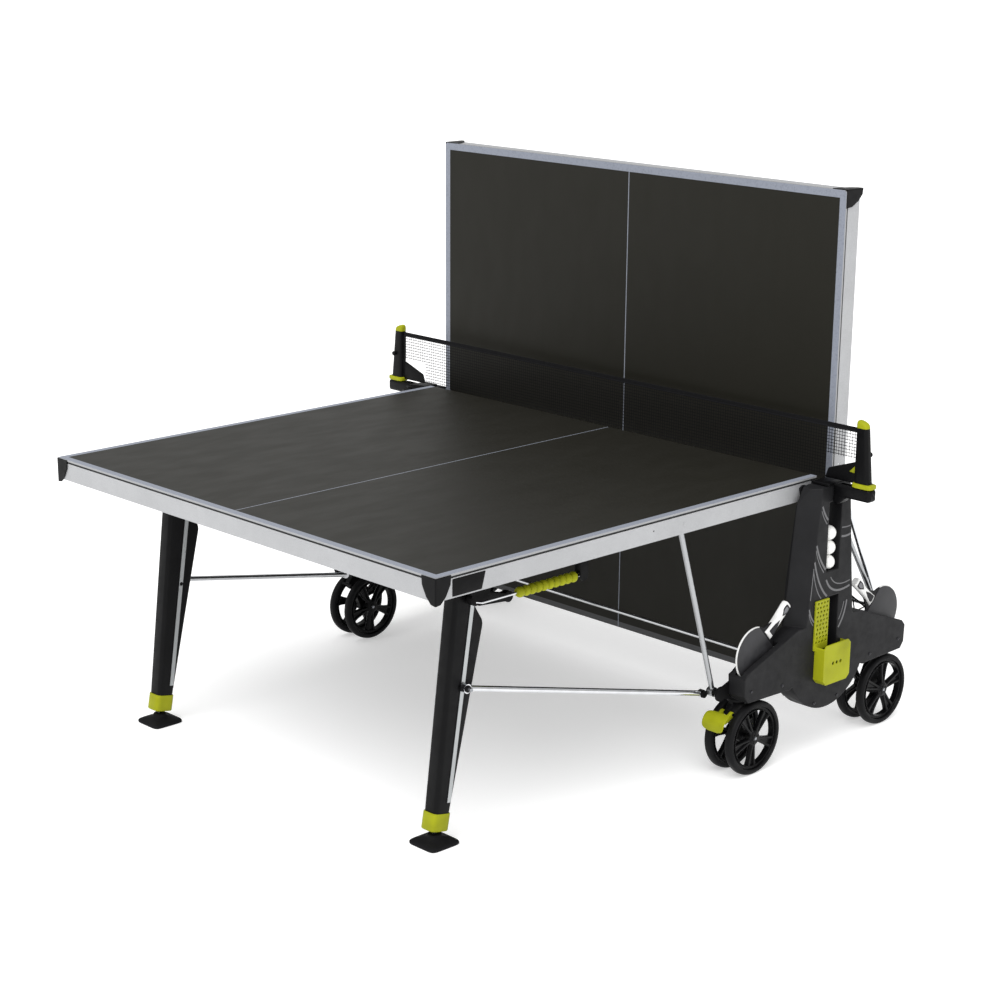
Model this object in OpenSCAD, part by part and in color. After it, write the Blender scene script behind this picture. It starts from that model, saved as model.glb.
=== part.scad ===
// Folding table tennis table: one half set up level, the other parked upright.
// Every half hangs on a pair of struts; its legs and link rods fold with it.
// Half pieces are drawn flat in the frame of a half: +Y away from the net,
// the playing surface at z = 0, and are then placed by front_half and rear_half.

/* [Playing surface] */
// height of the playing surface above the floor
table_h = 760; // [660:5:780]
// width of the table, along the net
table_w = 1525; // [1200:5:1525]
// length of one half, from the net line to its end
half_l = 1370; // [1000:5:1370]
// thickness of the resin board
board_t = 8; // [4:1:25]
// height of the side and end rails under the board
rail_h = 48; // [30:1:60]
// wall thickness of the rails
rail_t = 2; // [1:0.5:3]

/* [Parked half] */
// distance from the net line to the upright playing surface
park_y = 62; // [55:1:90]
// height of the lower edge of the upright half
park_z = 135; // [125:1:200]

/* [Struts] */
// distance of the strut pin from the net edge of its half
strut_s = 525; // [480:1:560]
// depth of the strut pin below the playing surface
strut_d = 46; // [40:1:55]
// height of the lower strut pin above the floor
strut_foot_z = 238; // [225:1:260]
// radius of a strut tube
strut_r = 7; // [5:0.5:7]
// distance of the strut from the middle of the table
strut_x = 745; // [740:1:748]

/* [Guides] */
// distance of the guide pin from the net edge of its half
guide_s = 60; // [50:1:80]
// depth of the guide pin below the playing surface
guide_d = 35; // [25:1:45]
// radius of the guide pin
guide_r = 5; // [4:0.5:6]
// how far the slot of the guide pin bows towards the net
slot_bow = 48; // [30:1:60]

/* [Legs] */
// distance of the leg pin from the net edge of its half
leg_s = 1117; // [1000:1:1150]
// depth of the leg pin below the playing surface
leg_d = 60; // [50:1:70]
// distance of a leg from the middle of the table
leg_x = 573; // [450:1:600]
// thickness of a leg across the table
leg_w = 46; // [30:1:60]
// lean of the folded leg away from the parked board, in degrees
leg_rest = 8; // [6:1:20]
// side of the square foot pad
pad_w = 96; // [60:1:120]

/* [Links] */
// distance of the link pin down the leg
link_drop = 303; // [250:1:330]
// height of the link's inner end above the floor
link_foot_z = 232; // [225:1:250]
// radius of a link rod
link_r = 7.5; // [5:0.5:9]

/* [Chassis] */
// inner face of the steel plate of a pod
plate_x = 770; // [768:1:790]
// outer face of the moulded cover of a pod
cover_x = 830; // [820:1:860]
// distance of a caster's swivel axis from the net line
caster_y = 310; // [290:1:330]
// distance of a caster's swivel axis from the middle of the table
caster_x = 773; // [771:1:790]
// trail of a caster
trail = 30; // [20:1:40]
// radius of a wheel
wheel_r = 102; // [90:1:102]
// width of a wheel
wheel_w = 24; // [16:1:28]
// distance between the two wheels of a caster, middle to middle
wheel_gap = 70; // [64:1:72]

/* [Net] */
// height of the net above the playing surface
net_h = 152.5; // [150:0.5:155]
// length of the net between its posts
net_l = 1830; // [1700:5:1830]

/* [Bats and balls] */
// radius of a ball
ball_r = 20; // [19:0.5:20]
// radius of a bat's blade
bat_r = 75; // [70:1:80]
// thickness of a bat with its rubbers
bat_t = 12; // [10:1:14]

/* [Hidden] */
$fn = 64;
run = 0.05;
pin_r = 6;
half_w = table_w / 2;
rail_x = half_w - 1;
rail_top = board_t + 3;
plate_t = 6;
// the strut's lower pin is as far from its upper pin in both states of the half
pin_level = [strut_s, table_h - strut_d];
pin_parked = [park_y + strut_d, park_z + strut_s];
pin_mid = (pin_level + pin_parked) / 2;
pin_way = pin_level - pin_parked;
strut_foot_y = pin_mid.x - (strut_foot_z - pin_mid.y) * pin_way.y / pin_way.x;
strut_foot = [strut_foot_y, strut_foot_z];
strut_len = norm(pin_level - strut_foot);
// the guide pin runs down a curved slot in the plate of the pod, around slot_c
guide_level = [guide_s, table_h - guide_d];
guide_parked = [park_y + guide_d, park_z + guide_s];
guide_way = guide_parked - guide_level;
slot_r = norm(guide_way) * norm(guide_way) / (8 * slot_bow) + slot_bow / 2;
slot_c = (guide_level + guide_parked) / 2
    + [-guide_way.y, guide_way.x] / norm(guide_way) * (slot_r - slot_bow);
slot_level = 180 - atan2(guide_level.y - slot_c.y, slot_c.x - guide_level.x);
slot_parked = 180 + atan2(slot_c.y - guide_parked.y, slot_c.x - guide_parked.x);
lean_level = atan2(pin_level.x - strut_foot.x, pin_level.y - strut_foot.y);
lean_parked = atan2(pin_parked.x - strut_foot.x, pin_parked.y - strut_foot.y);
// the link's inner end is as far from the link pin in both states of the half
link_pin = [14, -link_drop];
link_arm = norm(link_pin);
link_lean = atan2(link_pin.x, -link_pin.y);
leg_fold = leg_rest - link_lean - 90;
knee_level = [leg_s, table_h - leg_d] + link_pin;
knee_parked = [park_y + leg_d + link_arm * sin(leg_rest), park_z + leg_s - link_arm * cos(leg_rest)];
knee_mid = (knee_level + knee_parked) / 2;
knee_way = knee_level - knee_parked;
link_foot_y = knee_mid.x - (link_foot_z - knee_mid.y) * knee_way.y / knee_way.x;
link_foot = [link_foot_y, link_foot_z];
link_len = norm(knee_level - link_foot);
link_tilt_level = atan2(knee_level.y - link_foot.y, knee_level.x - link_foot.x);
link_tilt_parked = atan2(knee_parked.y - link_foot.y, knee_parked.x - link_foot.x);
link_out_x = leg_x + leg_w / 2 + 11.5;
link_in_x = strut_x - 21;
foot_s = 87;
foot_l = table_h - leg_d;
handle_x = 640;
handle_s = 770;
handle_d = 143;
bat_x = 797.5;
bat_lean = 42;
bat_tilt = 19.6;
bat_c = [272, 330];
ball_x = 811;
// the whole table is moved so that the frame's origin is the middle of its footprint
origin_y = 483.7;

silver = [0.74, 0.75, 0.77];
black = [0.09, 0.09, 0.1];
charcoal = [0.2, 0.2, 0.21];
lime = [0.72, 0.78, 0.12];
chrome = [0.8, 0.81, 0.83];

// ---- helpers ----

// a flat shape in the (Y, Z) plane, made solid from x0 to x1
module slab(x0, x1) {
    translate([x0, 0, 0]) rotate([90, 0, 90]) linear_extrude(x1 - x0) children();
}

// a round bar along X
module bar_x(x0, x1, y, z, r) {
    translate([x0, y, z]) rotate([0, 90, 0]) cylinder(r = r, h = x1 - x0);
}

// a round bar between two points
module bar(a, b, r) {
    way = b - a;
    translate(a)
        rotate([0, acos(way.z / norm(way)), atan2(way.y, way.x)])
            cylinder(r = r, h = norm(way));
}

// a block from its low corner to its high corner
module block(low, high) {
    translate(low) cube(high - low);
}

module both_sides() {
    children();
    mirror([1, 0, 0]) children();
}

module both_ends() {
    children();
    mirror([0, 1, 0]) children();
}

module front_half() {
    translate([0, 0, table_h]) rotate(180) children();
}

module rear_half() {
    translate([0, park_y, park_z]) rotate([90, 0, 0]) children();
}

// a leg's own frame: its hinge pin at the origin, pointing down
module at_leg(fold) {
    translate([0, leg_s, -leg_d]) rotate([fold, 0, 0]) children();
}

// ---- the two halves ----

module board() {
    color(charcoal) difference() {
        block([-half_w, 1.5, -board_t], [half_w, half_l, 0]);
        for (side = [-1, 1]) {
            translate([side * half_w, half_l, -board_t / 2])
                rotate(45) cube([8, 8, board_t + 2], center = true);
        }
    }
}

// a rail's section: web outside, flanges pointing to -X, top at the origin
module rail_section(bottom_flange) {
    difference() {
        translate([-18, -rail_h]) square([18, rail_h]);
        translate([-18 - rail_t, -rail_h + rail_t]) square([18, rail_h - 2 * rail_t]);
        translate([-19, -rail_h - 1]) square([19 - bottom_flange, rail_t + 2]);
    }
}

module side_rails() {
    color(silver) both_sides() {
        difference() {
            translate([rail_x, half_l - 1, -rail_top])
                rotate([90, 0, 0]) linear_extrude(half_l - 23) rail_section(7);
            bar_x(half_w - 12, half_w + 1, 640, -rail_top - 20, 2.5);
        }
        bar_x(strut_x + 8, rail_x - rail_t + 0.2, strut_s, -strut_d, 10);
        bar_x(rail_x - 0.2, rail_x + 1.2, strut_s, -strut_d + 12, 5);
        bar_x(rail_x - 1, plate_x - 0.9, guide_s, -guide_d, guide_r);
    }
}

// the rails across the outer end and the net end of a half
module end_rails() {
    color(silver) {
        translate([-half_w + 20, half_l - 1, -rail_top])
            rotate([90, 0, 90]) linear_extrude(table_w - 40) rail_section(14);
        translate([half_w - 20, 4, -rail_top])
            rotate([90, 0, -90]) linear_extrude(table_w - 40) rail_section(14);
    }
}

// steel tubes screwed under the board: they carry the rails, legs and handle
module under_frame() {
    color(black) {
        both_sides() difference() {
            block([652, 24, -28], [678, half_l - 22, -board_t]);
            block([654, 22, -26], [676, half_l - 20, -board_t - 2]);
        }
        for (s = [44, 330, 1178]) difference() {
            block([-652, s, -28], [652, s + 20, -board_t]);
            block([-655, s + 2, -26], [655, s + 18, -board_t - 2]);
        }
        difference() {
            union() {
                for (x = [-651, -632]) slab(x, x + 3) {
                    translate([handle_s - 14, -handle_d]) square([28, handle_d - 20]);
                    translate([handle_s, -handle_d]) circle(14);
                }
                block([-653.5, handle_s - 14, -34], [-629, handle_s + 14, -board_t]);
            }
            bar_x(-660, -620, handle_s, -handle_d, 3);
        }
        bar_x(-651, -629, handle_s, -handle_d, 3);
    }
}

// one arm of a corner guard: a shield shape that narrows downwards
module guard_face() {
    polygon([[0, -2], [-46, -2], [-44, -24], [-30, -50], [-14, -66], [0, -68]]);
}

module corner_guards() {
    color(black) both_sides() {
        difference() {
            union() {
                translate([half_w, half_l + 2.2, 0]) rotate([90, 0, 0]) linear_extrude(3) guard_face();
                translate([half_w - 0.8, half_l, 0]) slab(0, 3) guard_face();
                intersection() {
                    block([half_w - 0.9, half_l - 0.9, -68], [half_w + 2.2, half_l + 2.2, -2]);
                    translate([half_w - 0.8, half_l - 0.8, -70]) cylinder(r = 3, h = 70);
                }
            }
            block([0, 0, -board_t - 0.1], [half_w + 0.1, half_l + 0.1, 1]);
        }
        intersection() {
            block([half_w - 20, 2, -rail_top - rail_h], [half_w - 1, 21, -board_t]);
            translate([half_w - 20, 21, -80]) cylinder(r = 19, h = 80);
        }
    }
}

// channel brackets the legs turn in, each with the arm of its latch
module leg_brackets() {
    color(black) both_sides() difference() {
        union() {
            for (x = [leg_x - leg_w / 2 - 4.5, leg_x + leg_w / 2 + 3.5]) slab(x, x + 3.5) {
                translate([leg_s, -leg_d]) circle(24);
                polygon([
                    [1070, -board_t], [1164, -board_t], [1164, -20], [1141, -66], [1093, -66], [1070, -20]
                ]);
            }
            block([leg_x - 27.5, 1070, -13], [leg_x + 30, 1164, -board_t]);
            slab(leg_x + leg_w / 2 + 7, leg_x + leg_w / 2 + 24) {
                polygon([
                    [1120, -84], [1136, -110], [1100, -158], [1006, -166],
                    [988, -152], [1062, -132], [1082, -70]
                ]);
                translate([1000, -156]) circle(14);
                translate([1110, -140]) circle(16);
            }
            block([leg_x + leg_w / 2 + 3.5, 1084, -84], [leg_x + leg_w / 2 + 24, 1118, -46]);
        }
        bar_x(leg_x - 60, leg_x + leg_w / 2 + 30, leg_s, -leg_d, 8 + run);
    }
}

// blocks at the net end of a half that run in the slots of the pods' plates
module guide_shoes(level) {
    pin = level ? guide_level : guide_parked;
    turn = level ? slot_level : slot_parked;
    color(black) both_sides() {
        difference() {
            translate([0, pin.x, pin.y]) rotate([turn - 180, 0, 0])
                slab(763.6, plate_x - 0.4) intersection() {
                    square([22, 44], center = true);
                    circle(20);
                }
            bar_x(760, plate_x - 0.7, pin.x, pin.y, guide_r + run);
        }
        bar_x(plate_x - 0.5, plate_x + plate_t - 0.5, pin.x, pin.y, guide_r - 0.1);
    }
}

// ---- legs, in the frame of a leg ----

module leg_outline() {
    circle(30);
    polygon([[30, 0], [37, -79], [104, -612], [53, -622], [-58, -159], [-25, -96], [-29, 0]]);
}

module legs() {
    color(black) both_sides() {
        difference() {
            slab(leg_x - leg_w / 2, leg_x + leg_w / 2) leg_outline();
            translate([leg_x, foot_s, -680]) cylinder(r = pin_r + run, h = 90);
        }
        bar_x(leg_x - leg_w / 2 - 9, leg_x + leg_w / 2 + 9, 0, 0, 8);
        bar_x(leg_x + leg_w / 2 - 1, link_out_x + 8, link_pin.x, link_pin.y, 5);
        bar_x(link_out_x + 7.6, link_out_x + 11, link_pin.x, link_pin.y, 9);
    }
}

module leg_strips() {
    color(silver) both_sides() for (x = [leg_x + leg_w / 2, leg_x - leg_w / 2 - 2]) difference() {
        translate([x, -24, -54]) rotate([8.9, 0, 0]) block([0, -6, -544], [2, 6, 0]);
        bar_x(x - 1, x + 4, link_pin.x, link_pin.y, 5.5);
    }
}

module leg_rings() {
    color(lime) both_sides() difference() {
        slab(leg_x - leg_w / 2 - 1.5, leg_x + leg_w / 2 + 1.5)
            polygon([[104.2, -612.5], [52.5, -622.5], [61, -662], [66, -666], [106, -658], [110, -652]]);
        translate([leg_x, foot_s, -680]) cylinder(r = pin_r + run, h = 90);
    }
}

module foot_pad(side) {
    color(black) translate([side * leg_x, foot_s, -foot_l]) {
        intersection() {
            translate([-pad_w / 2, -pad_w / 2, 0]) cube([pad_w, pad_w, 9]);
            rotate(45) translate([-pad_w * 0.6, -pad_w * 0.6, 0])
                cube([pad_w * 1.2, pad_w * 1.2, 9]);
        }
        translate([0, 0, 9]) cylinder(r1 = 40, r2 = 20, h = 10);
        translate([0, 0, 18]) cylinder(r1 = 20, r2 = 16, h = 10);
        cylinder(r = pin_r, h = 84);
    }
}

// ---- struts and link rods ----

module struts(lean) {
    color(silver) both_sides()
        translate([0, strut_foot.x, strut_foot.y]) rotate([-lean, 0, 0]) difference() {
            union() {
                bar([strut_x, 0, 0], [strut_x, 0, strut_len], strut_r);
                bar_x(strut_x - 7.5, strut_x + 7.5, 0, 0, 13);
                bar_x(strut_x - 7.5, strut_x + 7.5, 0, strut_len, 13);
            }
            bar_x(strut_x - 20, strut_x + 20, 0, 0, pin_r + run);
            bar_x(strut_x - 20, strut_x + 20, 0, strut_len, pin_r + run);
        }
}

module link_rods(foot, tilt) {
    color(chrome) both_sides()
        translate([0, foot.x, foot.y]) rotate([tilt, 0, 0]) difference() {
            union() {
                bar([link_in_x, 0, 0], [link_out_x, link_len, 0], link_r);
                bar_x(link_in_x - 6, link_in_x + 6, 0, 0, 11);
                bar_x(link_out_x - 7, link_out_x + 7, link_len, 0, 12);
            }
            bar_x(link_out_x - 30, link_out_x + 30, link_len, 0, 5 + run);
            bar_x(link_out_x + 7, link_out_x + 30, link_len, 0, 9.5);
        }
}

// ---- release handle, in the frame of a half ----

module release_rod() {
    color(chrome) difference() {
        union() {
            bar([-handle_x, handle_s, -handle_d], [-handle_x, 1108, -handle_d], 3.5);
            bar_x(-handle_x - 7.5, -handle_x + 7.5, handle_s, -handle_d, 8);
            bar([-handle_x, 1108, -handle_d], [-handle_x + 12, 1116, -handle_d], 3.5);
            translate([-handle_x, 1108, -handle_d]) sphere(3.5);
        }
        bar_x(-handle_x - 20, -handle_x + 20, handle_s, -handle_d, 3 + run);
    }
}

module release_grip() {
    color(lime) translate([-handle_x, handle_s + 20, -handle_d]) rotate([-90, 0, 0])
        rotate_extrude() {
            translate([3.5, 0]) square([6, 204]);
            for (k = [0:9]) {
                translate([9, 12 + k * 20]) circle(5.5);
            }
        }
}

// ---- pods ----

module cover_outline() {
    polygon([
        [-330, 216], [-344, 234], [-346, 282], [-332, 298], [-132, 372], [-127, 488], [-97, 700],
        [-74, 744], [-52, 748], [52, 748], [74, 744], [97, 700], [127, 488], [132, 372],
        [332, 298], [346, 282], [344, 234], [330, 216], [190, 212], [158, 210],
        [0, 300], [-158, 210], [-190, 212]
    ]);
}

// the slanted side of the tower, taken off the cover's outer corner
module tower_bevel() {
    translate([plate_x + plate_t, -132, 372])
        rotate([-6.1, 0, 0]) rotate(31.4)
            block([-300, -200, -190], [400, 0, 420]);
}

module bat_slot() {
    translate(bat_c) circle(bat_r + 5);
    translate(bat_c) rotate(-bat_tilt) translate([-bat_r - 5, 0]) square([2 * bat_r + 10, 150]);
}

module pod_cover() {
    color(charcoal) difference() {
        union() {
            slab(plate_x + plate_t, cover_x) cover_outline();
            slab(plate_x + plate_t, cover_x) intersection() {
                translate([0, 290]) circle(165);
                translate([-165, 120]) square([330, 182]);
            }
        }
        both_ends() intersection() {
            tower_bevel();
            block([0, -400, 372], [900, 0, 800]);
        }
        // channel where the balls are kept
        translate([ball_x, 0, 512]) cylinder(r = 27, h = 192);
        block([ball_x, -27, 512], [cover_x + 10, 27, 704]);
        // window the balls are taken through
        block([798, -10, 228], [cover_x + 10, 33, 440]);
        // room for the casters' bearings
        both_ends() translate([caster_x, caster_y, 0]) {
            cylinder(r = 27, h = 217);
            cylinder(r = 23, h = 256);
        }
        // hollows behind the plate
        both_ends() slab(plate_x, cover_x - 26) {
            polygon([[37, 470], [96, 470], [73, 690], [56, 734], [37, 734]]);
            polygon([[37, 240], [106, 176], [150, 222], [150, 330], [104, 366], [96, 440], [37, 440]]);
        }
        // bat pockets
        both_ends() slab(789, 813) bat_slot();
    }
}

module plate_outline() {
    polygon([
        [-338, 222], [-342, 286], [-128, 366], [-121, 488], [-92, 696], [-66, 738],
        [66, 738], [92, 696], [121, 488], [128, 366], [342, 286], [338, 222], [150, 214], [110, 168],
        [50, 138], [-50, 138], [-110, 168], [-150, 214]
    ]);
    for (side = [-1, 1]) {
        translate([side * strut_foot.x, strut_foot.y]) circle(20);
        translate([side * 345, 234]) circle(16);
        ear_y = strut_foot.x - 1;
        polygon([[side * 330, 270], [side * ear_y, 255], [side * ear_y, 221], [side * 330, 223]]);
    }
}

// the curved slot, from the pin's place when level to its place when parked
module guide_slot() {
    translate(slot_c) intersection() {
        difference() {
            circle(slot_r + guide_r, $fn = 360);
            circle(slot_r - guide_r, $fn = 360);
        }
        polygon(concat([[0, 0]], [
            for (a = [slot_level, (slot_level + slot_parked) / 2, slot_parked])
                (slot_r + 90) * [cos(a), sin(a)]
        ]));
    }
    for (pin = [guide_level, guide_parked]) {
        translate(pin) circle(guide_r);
    }
}

// one diagonal lattice brace between the tower and the strut's foot
module lattice() {
    a = [-136, 398];
    b = [-322, 268];
    x = plate_x - 3.2;
    way = (b - a) / norm(b - a);
    side = [-way.y, way.x];
    for (k = [-1, 1]) {
        bar(concat([x], a + side * 15 * k), concat([x], b + side * 15 * k), 2.6);
    }
    for (k = [0:5]) {
        p = a + way * (10 + k * 36);
        flip = k % 2 == 0 ? 1 : -1;
        bar(concat([x], p + side * 15 * flip), concat([x], p + way * 36 - side * 15 * flip), 1.8);
    }
    for (p = [a + way * 30, b - way * 30]) {
        bar_x(x, plate_x + 1, p.x + side.x * 15, p.y + side.y * 15, 2.2);
    }
}

module pod_plate() {
    color(black) {
        difference() {
            slab(plate_x, plate_x + plate_t) plate_outline();
            both_ends() {
                bar_x(plate_x - 1, plate_x + plate_t + 1, 280, 336, 5);
                translate([caster_x, caster_y, 0]) cylinder(r = 20, h = 250);
                slab(plate_x - 1, plate_x + plate_t + 1) guide_slot();
            }
        }
        both_ends() {
            translate([caster_x, caster_y, 214]) difference() {
                cylinder(r = 22, h = 38);
                translate([0, 0, -1]) cylinder(r = 10 + run, h = 35);
            }
            bar_x(strut_x - 9, plate_x + 1, strut_foot.x, strut_foot.y, pin_r);
            slab(strut_x - 12, strut_x - 8.8) {
                translate(strut_foot) circle(12);
                translate(link_foot) circle(10);
            }
            lattice();
        }
    }
}

module cross_rods() {
    color(chrome) both_ends() bar_x(-plate_x - plate_t, plate_x + plate_t, 280, 336, 5);
}

// the window's grille and the cup in front of it
module ball_dispenser() {
    color(lime) {
        difference() {
            block([cover_x + 0.3, -68, 300], [cover_x + 5, -12, 438]);
            for (row = [0:9]) for (col = [0:3]) {
                bar_x(cover_x - 1, cover_x + 6, -60 + col * 13 + (row % 2) * 3, 322 + row * 12, 3.5);
            }
        }
        difference() {
            slab(cover_x + 0.3, cover_x + 34) intersection() {
                translate([-60, 205]) square([114, 112]);
                translate([-3, 262]) circle(72);
            }
            slab(cover_x - 1, cover_x + 30.5) intersection() {
                translate([-57, 208.5]) square([108, 120]);
                translate([-3, 262]) circle(69);
            }
            block([cover_x - 1, -57, 292], [cover_x + 30.5, 51, 340]);
            for (k = [-1:1]) {
                bar_x(cover_x + 20, cover_x + 40, -3 + 16 * k, 262, 5);
            }
        }
    }
}

module balls() {
    color([0.95, 0.95, 0.94]) for (turn = [0, 180]) rotate(turn) for (k = [0:2]) {
        translate([ball_x, 0, 512.3 + ball_r + k * (2 * ball_r + 0.3)]) sphere(ball_r);
    }
}

// ---- net ----

module net_post() {
    color(black) {
        block([778, -40, 748.2], [cover_x + 4, 40, 757]);
        rotate([90, 0, 0]) translate([0, 0, -16]) linear_extrude(32)
            polygon([
                [cover_x + 0.3, 700], [cover_x + 0.3, 757], [890, 757], [890, 722], [872, 722], [848, 700]
            ]);
        block([889, -17, 722], [950, 17, 755]);
        rotate([90, 0, 0]) translate([0, 0, -14]) linear_extrude(28)
            polygon([[892, 768], [946, 768], [928, 928], [889, 928]]);
        block([896, -12, 754], [942, 12, 769]);
        translate([930, 14, 842]) rotate([-90, 0, 0]) cylinder(r = 7, h = 9);
        // tensioning plate at the end of the net
        rotate([90, 0, 0]) translate([0, 0, -2.2]) linear_extrude(4.4)
            polygon([[790, 762], [894, 762], [894, 824], [800, 790]]);
    }
}

module net_post_trims() {
    color(lime) both_sides() {
        difference() {
            block([888, -18, 755.2], [952, 18, 767.8]);
            block([895.8, -12.2, 750], [942.2, 12.2, 770]);
            block([880, -16.2, 750], [890.2, 16.2, 757.2]);
            block([880, -2.4, 761.8], [894.2, 2.4, 770]);
        }
        rotate([90, 0, 0]) translate([0, 0, -15]) linear_extrude(30)
            polygon([[887, 928.3], [929.5, 928.3], [924, 944], [887, 950]]);
    }
}

module net_mesh() {
    color([0.15, 0.15, 0.16]) difference() {
        block([-888.7, -0.6, table_h + 3], [888.7, 0.6, table_h + net_h - 12]);
        both_sides() block([786, -1, table_h], [900, 1, table_h + 68]);
    }
}

module net_tape() {
    color([0.12, 0.12, 0.13]) difference() {
        block([-888.7, -1.5, table_h + net_h - 14], [888.7, 1.5, table_h + net_h]);
        block([-900, -0.8, table_h + net_h - 20], [900, 0.8, table_h + net_h - 11.8]);
    }
}

// ---- casters, in the frame of their swivel axis ----

module caster_fork() {
    color(black) difference() {
        union() {
            translate([0, 0, 206.5]) cylinder(r = 24, h = 7);
            translate([0, 0, 206.5]) cylinder(r = 10, h = 39);
            slab(-8, 8) {
                translate([trail, wheel_r]) circle(20);
                polygon([[-22, 207], [20, 207], [44, 150], [48, wheel_r], [12, wheel_r], [-22, 170]]);
            }
            bar_x(-48, 48, trail, wheel_r, 6);
            bar_x(-21, 21, -34, 178, 4);
            slab(-8, 8) polygon([[-22, 200], [-34, 186], [-34, 170], [-22, 160]]);
        }
        bar_x(-50, -47, trail, wheel_r, 3);
    }
}

module wheel() {
    difference() {
        union() {
            rotate_extrude() {
                polygon([
                    [78, -8], [84, -12], [96, -12], [wheel_r, -7], [wheel_r, 7], [96, 12], [84, 12], [78, 8]
                ]);
                translate([pin_r + run, -11]) square([15, 22]);
            }
            for (k = [0:4]) rotate(k * 72) for (s = [-1, 1]) {
                rotate(s * 9) translate([16, -3.5, -7]) cube([66, 7, 14]);
            }
        }
        cylinder(r = pin_r + run, h = 40, center = true);
    }
}

module wheel_pair() {
    color(black) for (side = [-1, 1]) {
        translate([side * wheel_gap / 2, trail, wheel_r]) rotate([0, side * 90, 0]) wheel();
    }
}

module brake_pedal() {
    color(lime) difference() {
        union() {
            for (side = [-1, 1]) slab(side * 15 - 5, side * 15 + 5) {
                translate([-34, 178]) circle(9);
                polygon([[-34, 187], [-30, 170], [-62, 150], [-74, 162]]);
            }
            rotate([90, 0, 90]) translate([0, 0, -44]) linear_extrude(88)
                polygon([
                    [-58, 180], [-66, 186], [-88, 168], [-86, 150],
                    [-76, 138], [-70, 142], [-76, 158], [-62, 168]
                ]);
        }
        bar_x(-30, 30, -34, 178, 4 + run);
    }
}

// places a caster; end -1 is the front of the table, side 1 its right
module at_caster(side, end) {
    translate([side * caster_x, end * caster_y, 0]) rotate(end < 0 ? 0 : 180) children();
}

// ---- bats ----

module bat() {
    color([0.12, 0.12, 0.13]) {
        slab(bat_x - bat_t / 2, bat_x + bat_t / 2) {
            translate(bat_c) circle(bat_r);
            translate(bat_c) rotate(90 - bat_lean) polygon([[-30, 60], [30, 60], [15, 96], [-15, 96]]);
        }
        translate([bat_x, bat_c.x, bat_c.y]) rotate([90 - bat_lean, 0, 0]) translate([0, 0, 70]) {
            linear_extrude(100) intersection() {
                square([22, 28], center = true);
                circle(16);
            }
        }
    }
}

// ---- nodes ----

module placed() {
    translate([0, origin_y, 0]) children();
}

module right_pod() {
    placed() children();
}

module left_pod() {
    placed() rotate(180) children();
}

right_pod() pod_cover();  // pod_cover_right
left_pod() pod_cover();  // pod_cover_left
right_pod() pod_plate();  // pod_plate_right
left_pod() pod_plate();  // pod_plate_left
placed() cross_rods();
right_pod() net_post();  // net_post_right
left_pod() net_post();  // net_post_left
placed() net_post_trims();
placed() net_mesh();
placed() net_tape();
right_pod() ball_dispenser();  // ball_dispenser_right
left_pod() ball_dispenser();  // ball_dispenser_left
placed() balls();
placed() front_half() board();  // board_front
placed() rear_half() board();  // board_rear
placed() front_half() under_frame();  // under_frame_front
placed() rear_half() under_frame();  // under_frame_rear
placed() front_half() end_rails();  // end_rails_front
placed() rear_half() end_rails();  // end_rails_rear
placed() front_half() side_rails();  // side_rails_front
placed() rear_half() side_rails();  // side_rails_rear
placed() front_half() corner_guards();  // corner_guards_front
placed() rear_half() corner_guards();  // corner_guards_rear
placed() front_half() leg_brackets();  // leg_brackets_front
placed() rear_half() leg_brackets();  // leg_brackets_rear
placed() rotate(180) guide_shoes(true);  // guide_shoes_front
placed() guide_shoes(false);  // guide_shoes_rear
placed() rotate(180) struts(lean_level);  // struts_front
placed() struts(lean_parked);  // struts_rear
placed() front_half() at_leg(0) legs();  // legs_front
placed() rear_half() at_leg(leg_fold) legs();  // legs_rear
placed() front_half() at_leg(0) leg_strips();  // leg_strips_front
placed() rear_half() at_leg(leg_fold) leg_strips();  // leg_strips_rear
placed() front_half() at_leg(0) leg_rings();  // leg_rings_front
placed() rear_half() at_leg(leg_fold) leg_rings();  // leg_rings_rear
placed() rotate(180) link_rods(link_foot, link_tilt_level);  // link_rods_front
placed() link_rods(link_foot, link_tilt_parked);  // link_rods_rear
placed() front_half() at_leg(0) foot_pad(-1);  // foot_pad_front_right
placed() front_half() at_leg(0) foot_pad(1);  // foot_pad_front_left
placed() rear_half() at_leg(leg_fold) foot_pad(1);  // foot_pad_rear_right
placed() rear_half() at_leg(leg_fold) foot_pad(-1);  // foot_pad_rear_left
placed() front_half() release_rod();  // release_rod_front
placed() rear_half() release_rod();  // release_rod_rear
placed() front_half() release_grip();  // release_grip_front
placed() rear_half() release_grip();  // release_grip_rear
placed() at_caster(1, -1) caster_fork();  // caster_fork_front_right
placed() at_caster(-1, -1) caster_fork();  // caster_fork_front_left
placed() at_caster(1, 1) caster_fork();  // caster_fork_rear_right
placed() at_caster(-1, 1) caster_fork();  // caster_fork_rear_left
placed() at_caster(1, -1) wheel_pair();  // wheels_front_right
placed() at_caster(-1, -1) wheel_pair();  // wheels_front_left
placed() at_caster(1, 1) wheel_pair();  // wheels_rear_right
placed() at_caster(-1, 1) wheel_pair();  // wheels_rear_left
placed() at_caster(1, -1) brake_pedal();  // brake_pedal_front_right
placed() at_caster(-1, 1) brake_pedal();  // brake_pedal_rear_left
placed() mirror([0, 1, 0]) bat();  // bat_front_right
placed() rotate(180) bat();  // bat_front_left
placed() bat();  // bat_rear_right
placed() mirror([1, 0, 0]) bat();  // bat_rear_left
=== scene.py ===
"""A folding table tennis table, dressed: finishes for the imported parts, and pieces that stand for some."""

import math

import bmesh
import bpy
from mathutils import Matrix, Vector


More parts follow.
